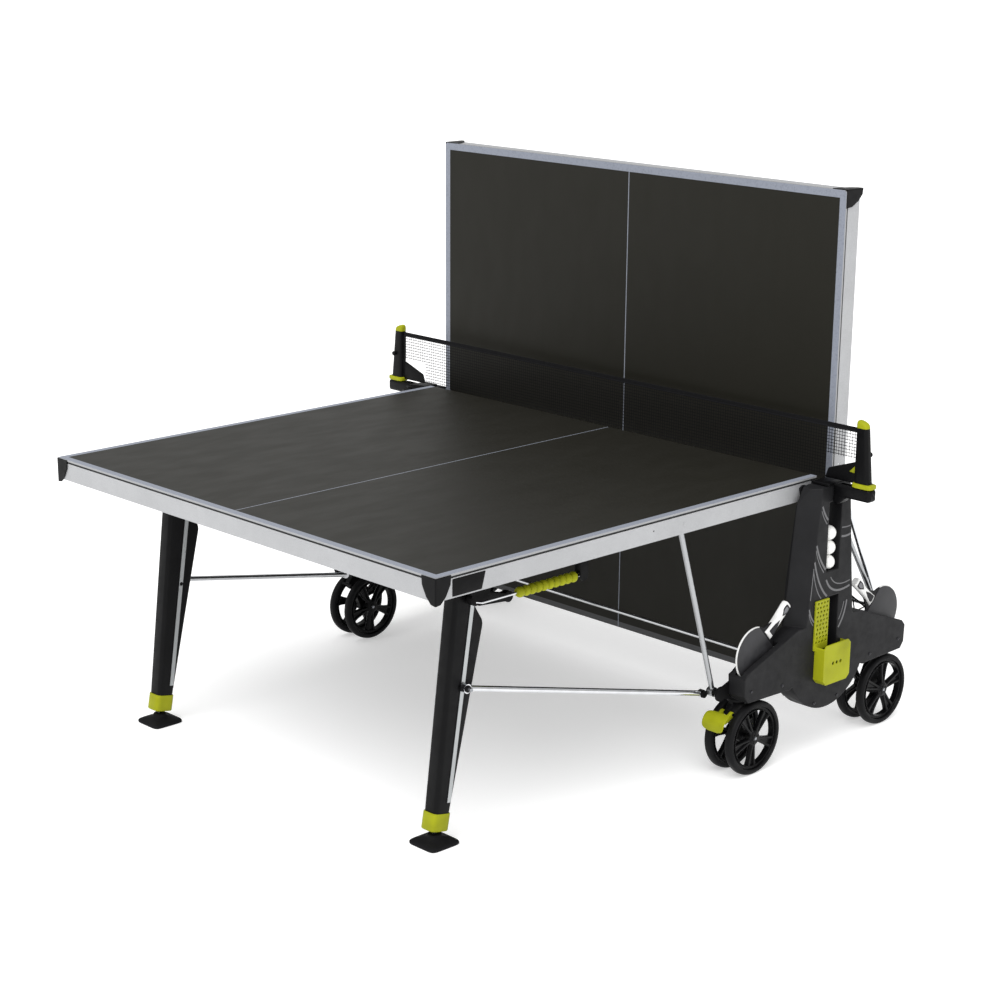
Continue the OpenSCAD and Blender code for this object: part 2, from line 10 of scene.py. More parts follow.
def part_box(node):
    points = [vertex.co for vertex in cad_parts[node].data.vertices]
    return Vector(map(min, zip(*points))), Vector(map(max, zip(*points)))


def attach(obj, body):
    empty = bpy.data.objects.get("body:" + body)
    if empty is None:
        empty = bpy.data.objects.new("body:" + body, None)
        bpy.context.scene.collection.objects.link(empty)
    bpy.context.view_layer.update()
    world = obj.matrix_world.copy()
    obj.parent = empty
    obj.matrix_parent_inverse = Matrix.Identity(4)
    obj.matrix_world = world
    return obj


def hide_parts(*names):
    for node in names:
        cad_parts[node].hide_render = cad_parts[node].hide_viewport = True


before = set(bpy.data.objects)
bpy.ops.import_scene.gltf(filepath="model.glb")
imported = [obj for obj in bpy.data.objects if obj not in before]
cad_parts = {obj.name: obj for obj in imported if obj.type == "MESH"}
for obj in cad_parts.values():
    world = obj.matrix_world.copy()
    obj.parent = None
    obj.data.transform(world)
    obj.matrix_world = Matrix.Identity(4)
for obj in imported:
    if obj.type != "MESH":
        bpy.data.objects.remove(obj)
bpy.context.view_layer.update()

bl_info = {
    "name": "Folding Table Tennis Table",
    "version": (1, 0, 0),
    "blender": (4, 5, 0),
    "location": "View3D > Sidebar > Table Tennis",
    "description": "Dresses a folding table tennis table with finishes and detailed pieces",
    "category": "Add Mesh",
}

ENDS = ("front", "rear")
SIDES = ("right", "left")
OUTWARD = {"front": -1, "rear": 1, "right": 1, "left": -1}
# how far the board starts from the net edge of its half
BOARD_START = 0.0015
# the net line, the parked surface, and the lower edge of the parked half
NET_Y = sum(corner.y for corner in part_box("cross_rods")) / 2
PARKED_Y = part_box("board_rear")[0].y
PARKED_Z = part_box("board_rear")[0].z - BOARD_START
# the level surface, half its width, the length of a half, and the outer face of the pods
TABLE_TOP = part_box("board_front")[1].z
HALF_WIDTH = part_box("board_front")[1].x
HALF_LENGTH = 1.37
COVER_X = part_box("pod_cover_right")[1].x
# the pin of a leg in the frame of its half, and the degrees that the parked half's legs have folded
LEG_PIN = (0, 1.117, -0.060)
PARKED_LEG_FOLD = -84.645
# the stem of a caster, from the middle of the table and from the net line
CASTER_X, CASTER_Y = 0.773, 0.310


# ---- finishes ----


class Finish:
    """A node material, built up from noise, masks and bumps in the object's own coordinates."""

    def __init__(self, name, roughness, metallic=0.0, **sockets):
        self.material = bpy.data.materials.new(name)
        self.material.use_nodes = True
        self.tree = self.material.node_tree
        self.shader = self.tree.nodes["Principled BSDF"]
        self.shader.inputs["Roughness"].default_value = roughness
        self.shader.inputs["Metallic"].default_value = metallic
        for socket, value in sockets.items():
            self.shader.inputs[socket.replace("_", " ")].default_value = value
        self.place = self.node("TexCoord").outputs["Object"]

    def node(self, kind, inputs=None, **settings):
        made = self.tree.nodes.new("ShaderNode" + kind)
        for setting, value in settings.items():
            setattr(made, setting, value)
        for socket, value in (inputs or {}).items():
            if isinstance(value, bpy.types.NodeSocket):
                self.tree.links.new(value, made.inputs[socket])
            else:
                made.inputs[socket].default_value = value
        return made

    def math(self, operation, a, b=0.0):
        return self.node("Math", {0: a, 1: b}, operation=operation).outputs[0]

    def axis(self, letter):
        return self.node("SeparateXYZ", {0: self.place}).outputs[letter]

    def noise(self, size, detail=2.0, stretch=(1, 1, 1), turn=(0, 0, 0)):
        """Noise whose features are about size metres across."""
        mapped = self.node("Mapping", {"Vector": self.place, "Scale": stretch, "Rotation": turn})
        inputs = {"Vector": mapped.outputs[0], "Scale": 1 / size, "Detail": detail}
        return self.node("TexNoise", inputs).outputs[0]

    def spread(self, factor, low, high, start=0.35, stop=0.65):
        """Maps a factor from start and stop to low and high."""
        return self.node(
            "MapRange", {"Value": factor, "From Min": start, "From Max": stop, "To Min": low, "To Max": high}
        ).outputs[0]

    def mix(self, factor, a, b):
        made = self.node("Mix", {0: factor}, data_type="RGBA")
        for socket, value in ((6, a), (7, b)):
            if isinstance(value, bpy.types.NodeSocket):
                self.tree.links.new(value, made.inputs[socket])
            else:
                made.inputs[socket].default_value = (*value[:3], 1)
        return made.outputs[2]

    def edges(self, radius):
        """The rounded normal of the edges, and a mask of where they are."""
        rounded = self.node("Bevel", {"Radius": radius}, samples=4).outputs[0]
        flat = self.node("NewGeometry").outputs["Normal"]
        along = self.node("VectorMath", {0: rounded, 1: flat}, operation="DOT_PRODUCT").outputs["Value"]
        return rounded, self.spread(along, 1.0, 0.0, 0.9, 0.995)

    def bump(self, height, strength, distance, normal=None):
        inputs = {"Height": height, "Strength": strength, "Distance": distance}
        if normal is not None:
            inputs["Normal"] = normal
        return self.node("Bump", inputs).outputs[0]

    def colour(self, value):
        self.tree.links.new(value, self.shader.inputs["Base Color"])

    def roughness(self, value):
        self.tree.links.new(value, self.shader.inputs["Roughness"])

    def normal(self, value):
        """Sets the last socket of a finish, and gives its material."""
        self.tree.links.new(value, self.shader.inputs["Normal"])
        return self.material


def tinted(colour, share):
    return tuple(min(1.0, channel * share) for channel in colour[:3])


def moulded_plastic(
    name, colour, roughness=0.45, grain=0.0009, depth=0.00012, edge=0.0015, edge_highlight=1.6, gloss=0.1
):
    """Plastic from a grained mould, slightly polished along its edges, with a painted highlight: the edges
    are painted paler.
    """
    made = Finish(name, roughness, Specular_IOR_Level=gloss)
    rounded, rim = made.edges(edge)
    cloudy = made.noise(0.09, 3)
    body = made.mix(made.spread(cloudy, 0, 1), tinted(colour, 0.86), tinted(colour, 1.14))
    # Painted highlight: the colour along the edges is made paler, to stand for the light they catch.
    made.colour(made.mix(rim, body, tinted(colour, edge_highlight)))
    uneven = made.spread(made.noise(0.02, 4), roughness - 0.06, roughness + 0.1)
    made.roughness(made.math("ADD", uneven, made.math("MULTIPLY", rim, -0.1)))
    return made.normal(made.bump(made.noise(grain, 1), 0.5, depth, rounded))


def powder_coat(name, colour, roughness=0.45, metallic=0.0, fleck=0.12, edge=0.0008, gloss=0.1):
    """Baked powder paint: a fine orange peel with small pale and dark flecks, and a painted highlight along
    its edges.
    """
    made = Finish(name, roughness, metallic, Specular_IOR_Level=gloss)
    rounded, rim = made.edges(edge)
    flecks = made.noise(0.0011, 1)
    body = made.mix(made.spread(flecks, 0, 1), tinted(colour, 1 - fleck), tinted(colour, 1 + fleck))
    aged = made.mix(made.spread(made.noise(0.3, 3), 0, 0.35), body, tinted(colour, 0.8))
    # Painted highlight: the colour along the edges is made 35% paler, to stand for the light they catch.
    made.colour(made.mix(rim, aged, tinted(colour, 1.35)))
    made.roughness(made.spread(made.noise(0.03, 3), roughness - 0.05, roughness + 0.09))
    return made.normal(made.bump(made.noise(0.0024, 2), 0.35, 0.00015, rounded))


def drawn_metal(name, colour, roughness, lean=0.0):
    """A drawn tube or strip: fine lines along its length, leaning from the vertical by lean."""
    made = Finish(name, roughness, 1.0)
    lines = made.noise(0.0006, 3, stretch=(1, 1, 0.02), turn=(lean, 0, 0))
    tone = made.mix(made.spread(lines, 0, 1), tinted(colour, 0.93), tinted(colour, 1.05))
    made.colour(made.mix(made.spread(made.noise(0.12, 3), 0, 0.3), tone, tinted(colour, 0.8)))
    made.roughness(made.spread(made.noise(0.05, 3), roughness - 0.03, roughness + 0.06))
    rounded, _ = made.edges(0.0006)
    return made.normal(made.bump(lines, 0.05, 0.00002, rounded))


def bright_plating(name, colour, roughness):
    """Bright plated steel with faint smudges."""
    made = Finish(name, roughness, 1.0)
    smudge = made.noise(0.035, 5)
    made.colour(made.mix(made.spread(smudge, 0, 1), tinted(colour, 0.9), colour))
    made.roughness(made.spread(smudge, roughness * 0.7, roughness * 2.6, 0.4, 0.75))
    return made.normal(made.bump(made.noise(0.004, 2), 0.06, 0.0001))


def soft_rubber(name, colour, roughness=0.7):
    """Dull rubber with a dusty bloom and a fine matt skin."""
    made = Finish(name, roughness, Specular_IOR_Level=0.12)
    dust = made.noise(0.03, 5)
    made.colour(made.mix(made.spread(dust, 0, 0.6, 0.45, 0.75), colour, tinted(colour, 1.5)))
    made.roughness(made.spread(dust, roughness - 0.1, roughness + 0.12))
    rounded, _ = made.edges(0.001)
    return made.normal(made.bump(made.noise(0.0007, 2), 0.4, 0.00012, rounded))


def woven_tape(name, colour):
    """A close plain weave, with a row of stitches along its lower edge."""
    fineness, seam_height, stitches_per_metre = 260.0, TABLE_TOP + 0.1415, 220.0
    made = Finish(name, 0.85, Sheen_Weight=0.04, Specular_IOR_Level=0.08)
    warp = made.node("TexWave", {"Vector": made.place, "Scale": fineness}, bands_direction="X").outputs[1]
    weft = made.node("TexWave", {"Vector": made.place, "Scale": fineness}, bands_direction="Z").outputs[1]
    weave = made.math("MULTIPLY", warp, weft)
    off_seam = made.math("ABSOLUTE", made.math("SUBTRACT", made.axis("Z"), seam_height))
    seam = made.math("LESS_THAN", off_seam, 0.0005)
    step = made.math("FRACT", made.math("MULTIPLY", made.axis("X"), stitches_per_metre))
    stitch = made.math("MULTIPLY", seam, made.math("GREATER_THAN", step, 0.3))
    cloth = made.mix(made.spread(weave, 0, 1, 0.1, 0.7), tinted(colour, 0.6), tinted(colour, 1.5))
    made.colour(made.mix(stitch, cloth, tinted(colour, 3.0)))
    made.roughness(made.spread(made.noise(0.01, 3), 0.78, 0.95))
    raised = made.math("ADD", weave, made.math("MULTIPLY", stitch, 1.5))
    return made.normal(made.bump(raised, 0.6, 0.0002))


def knotted_cord(name, colour):
    """The twisted thread of the net."""
    made = Finish(name, 0.8, Sheen_Weight=0.03, Specular_IOR_Level=0.1)
    waves = {"Vector": made.place, "Scale": 180.0, "Distortion": 1.5}
    twist = made.node("TexWave", waves, bands_direction="DIAGONAL").outputs[1]
    made.colour(made.mix(twist, tinted(colour, 0.6), tinted(colour, 1.5)))
    made.roughness(made.spread(made.noise(0.006, 2), 0.7, 0.9))
    return made.normal(made.bump(twist, 0.5, 0.0002))


def playing_surface(name, end, settings):
    """The matt resin surface of a half with its painted lines, a painted highlight as a pale band along the
    top of its edges, and a plain underside.
    """
    gloss = {"front": 0.3, "rear": 0.16}[end]
    skin = 0.0004
    made = Finish(name, 0.5, Specular_IOR_Level=gloss)
    across = made.math("ABSOLUTE", made.axis("X"))
    if end == "front":
        along = made.math("SUBTRACT", NET_Y, made.axis("Y"))
        depth = made.math("SUBTRACT", TABLE_TOP, made.axis("Z"))
    else:
        along = made.math("SUBTRACT", made.axis("Z"), PARKED_Z)
        depth = made.math("SUBTRACT", made.axis("Y"), PARKED_Y)
    top = made.math("LESS_THAN", depth, skin)
    rim = made.math("LESS_THAN", depth, settings.highlight_band_height)
    line = settings.line_width
    side_line = made.math("GREATER_THAN", across, HALF_WIDTH - line)
    end_line = made.math("GREATER_THAN", along, HALF_LENGTH - line)
    centre_line = made.math("LESS_THAN", across, settings.centre_line_width / 2)
    lines = made.math("MAXIMUM", made.math("MAXIMUM", side_line, end_line), centre_line)
    painted = made.math("MULTIPLY", lines, top)
    base = tuple(settings.board_colour)
    pebbles = made.noise(0.0016, 2)
    cloudy = made.noise(0.22, 4)
    resin = made.mix(made.spread(cloudy, 0, 1), tinted(base, 0.96), tinted(base, 1.04))
    resin = made.mix(made.spread(pebbles, 0, 0.5), resin, tinted(base, 1.35))
    under = made.mix(made.spread(cloudy, 0, 1), (0.006, 0.006, 0.006), (0.01, 0.01, 0.01))
    # Painted highlight: the top of the board's edges is painted a pale silver-grey, for the light the edge
    # catches.
    under = made.mix(rim, under, tinted(settings.rail_colour, 0.8))
    paint = made.mix(made.spread(made.noise(0.004, 4), 0, 0.3, 0.5, 0.8), tuple(settings.line_colour), base)
    if end == "rear":
        trim = made.math("LESS_THAN", along, settings.trim_width)
        resin = made.mix(trim, resin, tinted(settings.rail_colour, 0.2))
    made.colour(made.mix(painted, made.mix(top, under, resin), paint))
    swirls = made.noise(0.05, 6, stretch=(1, 0.35, 0.35))
    made.roughness(made.spread(swirls, 0.47, 0.53))
    height = made.math("ADD", pebbles, made.math("MULTIPLY", painted, 0.6))
    return made.normal(made.bump(height, 0.3, 0.00012))


def dress(material, *nodes):
    """Gives CAD nodes a finish."""
    for name in nodes:
        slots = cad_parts[name].data.materials
        slots.clear()
        slots.append(material)


def both(stem):
    return [f"{stem}_{end}" for end in ENDS]


# ---- shapes ----


def finished(name, mesh, material, body, sharp=35.0, replaces=()):
    """Turns a bmesh into a piece that rides on a body."""
    bmesh.ops.recalc_face_normals(mesh, faces=mesh.faces)
    for edge in mesh.edges:
        if len(edge.link_faces) == 2:
            edge.smooth = edge.calc_face_angle(0) < math.radians(sharp)
    for face in mesh.faces:
        face.smooth = True
    data = bpy.data.meshes.new(name)
    mesh.to_mesh(data)
    mesh.free()
    piece = bpy.data.objects.new(name, data)
    bpy.context.scene.collection.objects.link(piece)
    for finish in material if isinstance(material, (list, tuple)) else (material,):
        data.materials.append(finish)
    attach(piece, body)
    if replaces:
        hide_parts(*replaces)
    return piece


def loft(mesh, rings, finish=0):
    """Skins a row of rings with the same number of points, and closes its ends."""
    loops = [[mesh.verts.new(point) for point in ring] for ring in rings]
    for low, high in zip(loops, loops[1:]):
        for k in range(len(low)):
            n = (k + 1) % len(low)
            mesh.faces.new((low[k], low[n], high[n], high[k])).material_index = finish
    mesh.faces.new(loops[0][::-1]).material_index = finish
    mesh.faces.new(loops[-1]).material_index = finish


def squarish(half_a, half_b, power, count=40):
    """Points of a rounded square: power 2 is an ellipse, and more is squarer."""

    def pushed_out(value):
        return math.copysign(abs(value) ** (2 / power), value)

    turns = [2 * math.pi * k / count for k in range(count)]
    return [(half_a * pushed_out(math.cos(turn)), half_b * pushed_out(math.sin(turn))) for turn in turns]


def mirrored(profile):
    """A closed profile from its half: the mirror image, and then the half from its end back."""
    return [(-along, radius) for along, radius in profile] + list(profile)[::-1]


def rectangle(half_width, low, high):
    return [(-half_width, low), (half_width, low), (half_width, high), (-half_width, high)]


def turned(mesh, profile, centre, axis="X", segments=48, finish=0):
    """Turns a closed profile of (distance along, radius) about an axis through centre."""
    centre = Vector(centre)
    order = {"X": (0, 1, 2), "Y": (1, 2, 0), "Z": (2, 0, 1)}[axis]
    rings = []
    for along, radius in profile:
        ring = []
        for k in range(segments):
            turn = 2 * math.pi * k / segments
            point = [0.0, 0.0, 0.0]
            point[order[0]] = along
            point[order[1]] = radius * math.cos(turn)
            point[order[2]] = radius * math.sin(turn)
            ring.append(mesh.verts.new(centre + Vector(point)))
        rings.append(ring)
    for low, high in zip(rings, rings[1:] + rings[:1]):
        for k in range(segments):
            n = (k + 1) % segments
            mesh.faces.new((low[k], low[n], high[n], high[k])).material_index = finish


def prism(mesh, outline, low, high, place=Matrix(), finish=0, rounding=0.0, steps=3):
    """A flat outline in the (Y, Z) plane made solid from x low to x high, its rims rounded."""
    flat = [Vector(point) for point in outline]
    area = sum(a.x * b.y - b.x * a.y for a, b in zip(flat, flat[1:] + flat[:1]))
    inward = []
    for k, point in enumerate(flat):
        along = (flat[(k + 1) % len(flat)] - flat[k - 1]).normalized()
        inward.append(Vector((-along.y, along.x)) * math.copysign(1, area))
    levels = [(low, 0.0), (high, 0.0)]
    if rounding:
        arc = [math.pi / 2 * k / steps for k in range(steps + 1)]
        levels = [(low + rounding * (1 - math.sin(a)), rounding * (1 - math.cos(a))) for a in reversed(arc)]
        levels += [(high - rounding * (1 - math.sin(a)), rounding * (1 - math.cos(a))) for a in arc]
    rings = []
    for x, inset in levels:
        drawn_in = [point + way * inset for point, way in zip(flat, inward)]
        rings.append([place @ Vector((x, point.x, point.y)) for point in drawn_in])
    loft(mesh, rings, finish=finish)


def along_curve(controls, t):
    """The point at share t of the curve that a row of control points bends."""
    points = [Vector(point) for point in controls]
    while len(points) > 1:
        points = [a.lerp(b, t) for a, b in zip(points, points[1:])]
    return points[0]


def soft_outline(corners, radius, steps=5):
    """A polygon with every corner rounded."""
    points = []
    for k, corner in enumerate(corners):
        here = Vector(corner)
        back = Vector(corners[k - 1]) - here
        on = Vector(corners[(k + 1) % len(corners)]) - here
        reach = min(radius, 0.45 * back.length, 0.45 * on.length)
        bend = (here + back.normalized() * reach, here, here + on.normalized() * reach)
        points += [tuple(along_curve(bend, j / steps)) for j in range(steps + 1)]
    return points


def ribbon(mesh, path, width, outward, lift=0.0003):
    """A thin strip along a path on a face, facing outward."""
    outward = Vector(outward).normalized()
    rows = []
    for k, point in enumerate(path):
        before, after = Vector(path[max(k - 1, 0)]), Vector(path[min(k + 1, len(path) - 1)])
        side = outward.cross(after - before).normalized() * width / 2
        middle = Vector(point) + outward * lift
        rows.append((mesh.verts.new(middle - side), mesh.verts.new(middle + side)))
    for low, high in zip(rows, rows[1:]):
        mesh.faces.new((low[0], low[1], high[1], high[0]))


def moved(mesh, start, place):
    """Moves the points made since start."""
    mesh.verts.ensure_lookup_table()
    for vert in mesh.verts[start:]:
        vert.co = place @ vert.co


def screw_head(mesh, centre, outward, radius):
    """A domed head with a rim and a socket."""
    dome = [(0.0, 1.0), (0.245, 1.0), (0.42, 0.85), (0.56, 0.55), (0.574, 0.3), (0.35, 0.22)]
    start = len(mesh.verts)
    turned(mesh, [(out * radius, across * radius) for out, across in dome], (0, 0, 0), "X", 16)
    turn = Vector((1, 0, 0)).rotation_difference(Vector(outward)).to_matrix().to_4x4()
    moved(mesh, start, Matrix.Translation(Vector(centre)) @ turn)


# ---- places ----


def half_place(end):
    """From the frame of a half, +Y away from the net and its surface at z = 0, to the table."""
    if end == "front":
        return Matrix.Translation((0, NET_Y, TABLE_TOP)) @ Matrix.Rotation(math.pi, 4, "Z")
    return Matrix.Translation((0, PARKED_Y, PARKED_Z)) @ Matrix.Rotation(math.pi / 2, 4, "X")


def leg_place(end):
    """The frame of a leg: its pin at the origin and the leg pointing down."""
    fold = {"front": 0.0, "rear": math.radians(PARKED_LEG_FOLD)}[end]
    return half_place(end) @ Matrix.Translation(LEG_PIN) @ Matrix.Rotation(fold, 4, "X")


def leg_side(end, side):
    """The sign of X in the frame of a leg, which is turned round at the front."""
    return OUTWARD[side] * (-1 if end == "front" else 1)


def pod_place(side):
    """From the frame of the right-hand pod, its middle on the net line, to the table."""
    turn = 0.0 if side == "right" else math.pi
    return Matrix.Translation((0, NET_Y, 0)) @ Matrix.Rotation(turn, 4, "Z")


def caster_place(end, side):
    """The frame of a caster: the foot of its stem at the origin and its wheels towards +Y."""
    turn = 0.0 if end == "front" else math.pi
    spot = (OUTWARD[side] * CASTER_X, NET_Y + OUTWARD[end] * CASTER_Y, 0)
    return Matrix.Translation(spot) @ Matrix.Rotation(turn, 4, "Z")


# ---- settings ----


class TABLETENNIS_PG_colours(bpy.types.PropertyGroup):
    board_colour: bpy.props.FloatVectorProperty(
        name="Board", description="Colour of the playing surface", subtype="COLOR", size=3,
        default=(0.0119, 0.0112, 0.0080),
    )
    line_colour: bpy.props.FloatVectorProperty(
        name="Lines", description="Colour of the painted lines", subtype="COLOR", size=3,
        default=(0.25, 0.27, 0.32),
    )
    rail_colour: bpy.props.FloatVectorProperty(
        name="Rails", description="Colour of the silver rails", subtype="COLOR", size=3,
        default=(0.40, 0.405, 0.415),
    )
    black_colour: bpy.props.FloatVectorProperty(
        name="Black parts", description="Colour of legs, guards and casters", subtype="COLOR", size=3,
        default=(0.0036, 0.0036, 0.004),
    )
    pod_colour: bpy.props.FloatVectorProperty(
        name="Pods", description="Colour of the moulded pods", subtype="COLOR", size=3,
        default=(0.0135, 0.0135, 0.0145),
    )
    accent_colour: bpy.props.FloatVectorProperty(
        name="Accents", description="Colour of rings, pedals, grips and cups", subtype="COLOR", size=3,
        default=(0.29, 0.305, 0.010),
    )
    line_width: bpy.props.FloatProperty(
        name="Edge line", description="Width of the side and end lines", default=0.020, unit="LENGTH"
    )
    centre_line_width: bpy.props.FloatProperty(
        name="Centre line", description="Width of the centre line", default=0.003, unit="LENGTH"
    )
    trim_width: bpy.props.FloatProperty(
        name="Trim", description="Width of the grey trim along the parked half's lower edge", default=0.019,
        unit="LENGTH",
    )
    # Height of the pale band along the top of the board's edges, a painted highlight.
    highlight_band_height: bpy.props.FloatProperty(
        name="Rim", description="Height of the metal rim around the board", default=0.0055, unit="LENGTH"
    )


class TABLETENNIS_PG_net(bpy.types.PropertyGroup):
    pitch: bpy.props.FloatProperty(
        name="Mesh", description="Distance between the threads of the net", default=0.0085, unit="LENGTH"
    )
    thread: bpy.props.FloatProperty(
        name="Thread", description="Width of a thread of the net", default=0.0017, unit="LENGTH"
    )
    tape: bpy.props.FloatProperty(
        name="Tape", description="Height of the tape along the top of the net", default=0.014, unit="LENGTH"
    )


class TABLETENNIS_PG_bat(bpy.types.PropertyGroup):
    blade_radius: bpy.props.FloatProperty(
        name="Blade", description="Radius of a bat's blade", default=0.074, unit="LENGTH"
    )
    blade_thickness: bpy.props.FloatProperty(
        name="Core", description="Thickness of the blade's core", default=0.0044, unit="LENGTH"
    )
    rubber: bpy.props.FloatProperty(
        name="Rubber", description="Thickness of one rubber", default=0.0018, unit="LENGTH"
    )
    handle_end: bpy.props.FloatProperty(
        name="Handle", description="Distance from the blade's middle to the handle's end", default=0.169,
        unit="LENGTH",
    )


class TABLETENNIS_PG_stage(bpy.types.PropertyGroup):
    sun: bpy.props.FloatProperty(
        name="Overhead light", description="Strength of the overhead light", default=2.3
    )
    sky: bpy.props.FloatProperty(
        name="Fill light", description="Strength of the even fill light", default=0.62
    )
    backdrop: bpy.props.FloatProperty(
        name="Backdrop", description="Brightness behind the table", default=1.2
    )
    lens: bpy.props.FloatProperty(
        name="Lens", description="Focal length of the camera", default=79.5, subtype="DISTANCE_CAMERA"
    )


def colours():
    return bpy.context.scene.table_tennis_colours


# ---- pieces ----


class TABLETENNIS_OT_halves(bpy.types.Operator):
    """Boards, rails, corner guards and the frame under each half"""

    bl_idname = "tabletennis.halves"
    bl_label = "Halves"

    # in the frame of a half: the outer face of its side rail, the underside of its tubes, and the
    # distances from the net of the screws through the cross tubes and through the side tubes
    rail_face = 0.7615
    tube_depth = -0.0281
    cross_screws = (0.054, 0.340, 1.188)
    side_screws = (0.2, 0.55, 0.9, 1.1, 1.3)

    def execute(self, context):
        chosen = colours()
        for end in ENDS:
            dress(playing_surface(f"playing surface {end}", end, chosen), f"board_{end}")
        silver = powder_coat("silver powder coat", tuple(chosen.rail_colour), 0.42, 0.25, 0.14, gloss=0.5)
        dress(silver, *both("end_rails"), *both("side_rails"))
        black_coat = powder_coat("black powder coat", tuple(chosen.black_colour), 0.5, 0.0, 0.3)
        dress(black_coat, *both("under_frame"), *both("leg_brackets"))
        guard = moulded_plastic("corner guard plastic", tuple(chosen.black_colour), 0.38, edge=0.003)
        dress(guard, *both("corner_guards"))
        nylon = tinted(chosen.black_colour, 1.6)
        shoe = moulded_plastic("guide shoe nylon", nylon, 0.32, grain=0.002, depth=0.00005)
        dress(shoe, *both("guide_shoes"))
        self.badges(black_coat)
        self.screws(bright_plating("zinc screws", (0.42, 0.43, 0.45), 0.25))
        return {"FINISHED"}

    def badges(self, finish):
        """A plain dark plate on one side rail of each half, near its outer corner."""
        corners = [(1.214, -0.0135), (1.226, -0.0555), (1.318, -0.0555), (1.318, -0.0135)]
        outline, thickness = soft_outline(corners, 0.003, 3), 0.0009
        for end in ENDS:
            mesh = bmesh.new()
            outer = -self.rail_face - thickness
            prism(mesh, outline, outer, -self.rail_face, half_place(end), rounding=0.0003, steps=2)
            finished(f"rail_plate_{end}", mesh, finish, f"half_{end}")

    def screws(self, finish):
        """Screws through the flanges of the tubes and brackets into the underside of the board."""
        for end in ENDS:
            mesh = bmesh.new()
            spots = [(x, s) for s in self.cross_screws for x in (-0.6, -0.3, 0.3, 0.6)]
            spots += [(side * 0.665, s) for side in (-1, 1) for s in self.side_screws]
            for x, s in spots:
                screw_head(mesh, (x, s, self.tube_depth), (0, 0, -1), 0.0055)
            moved(mesh, 0, half_place(end))
            finished(f"frame_screws_{end}", mesh, finish, f"half_{end}")


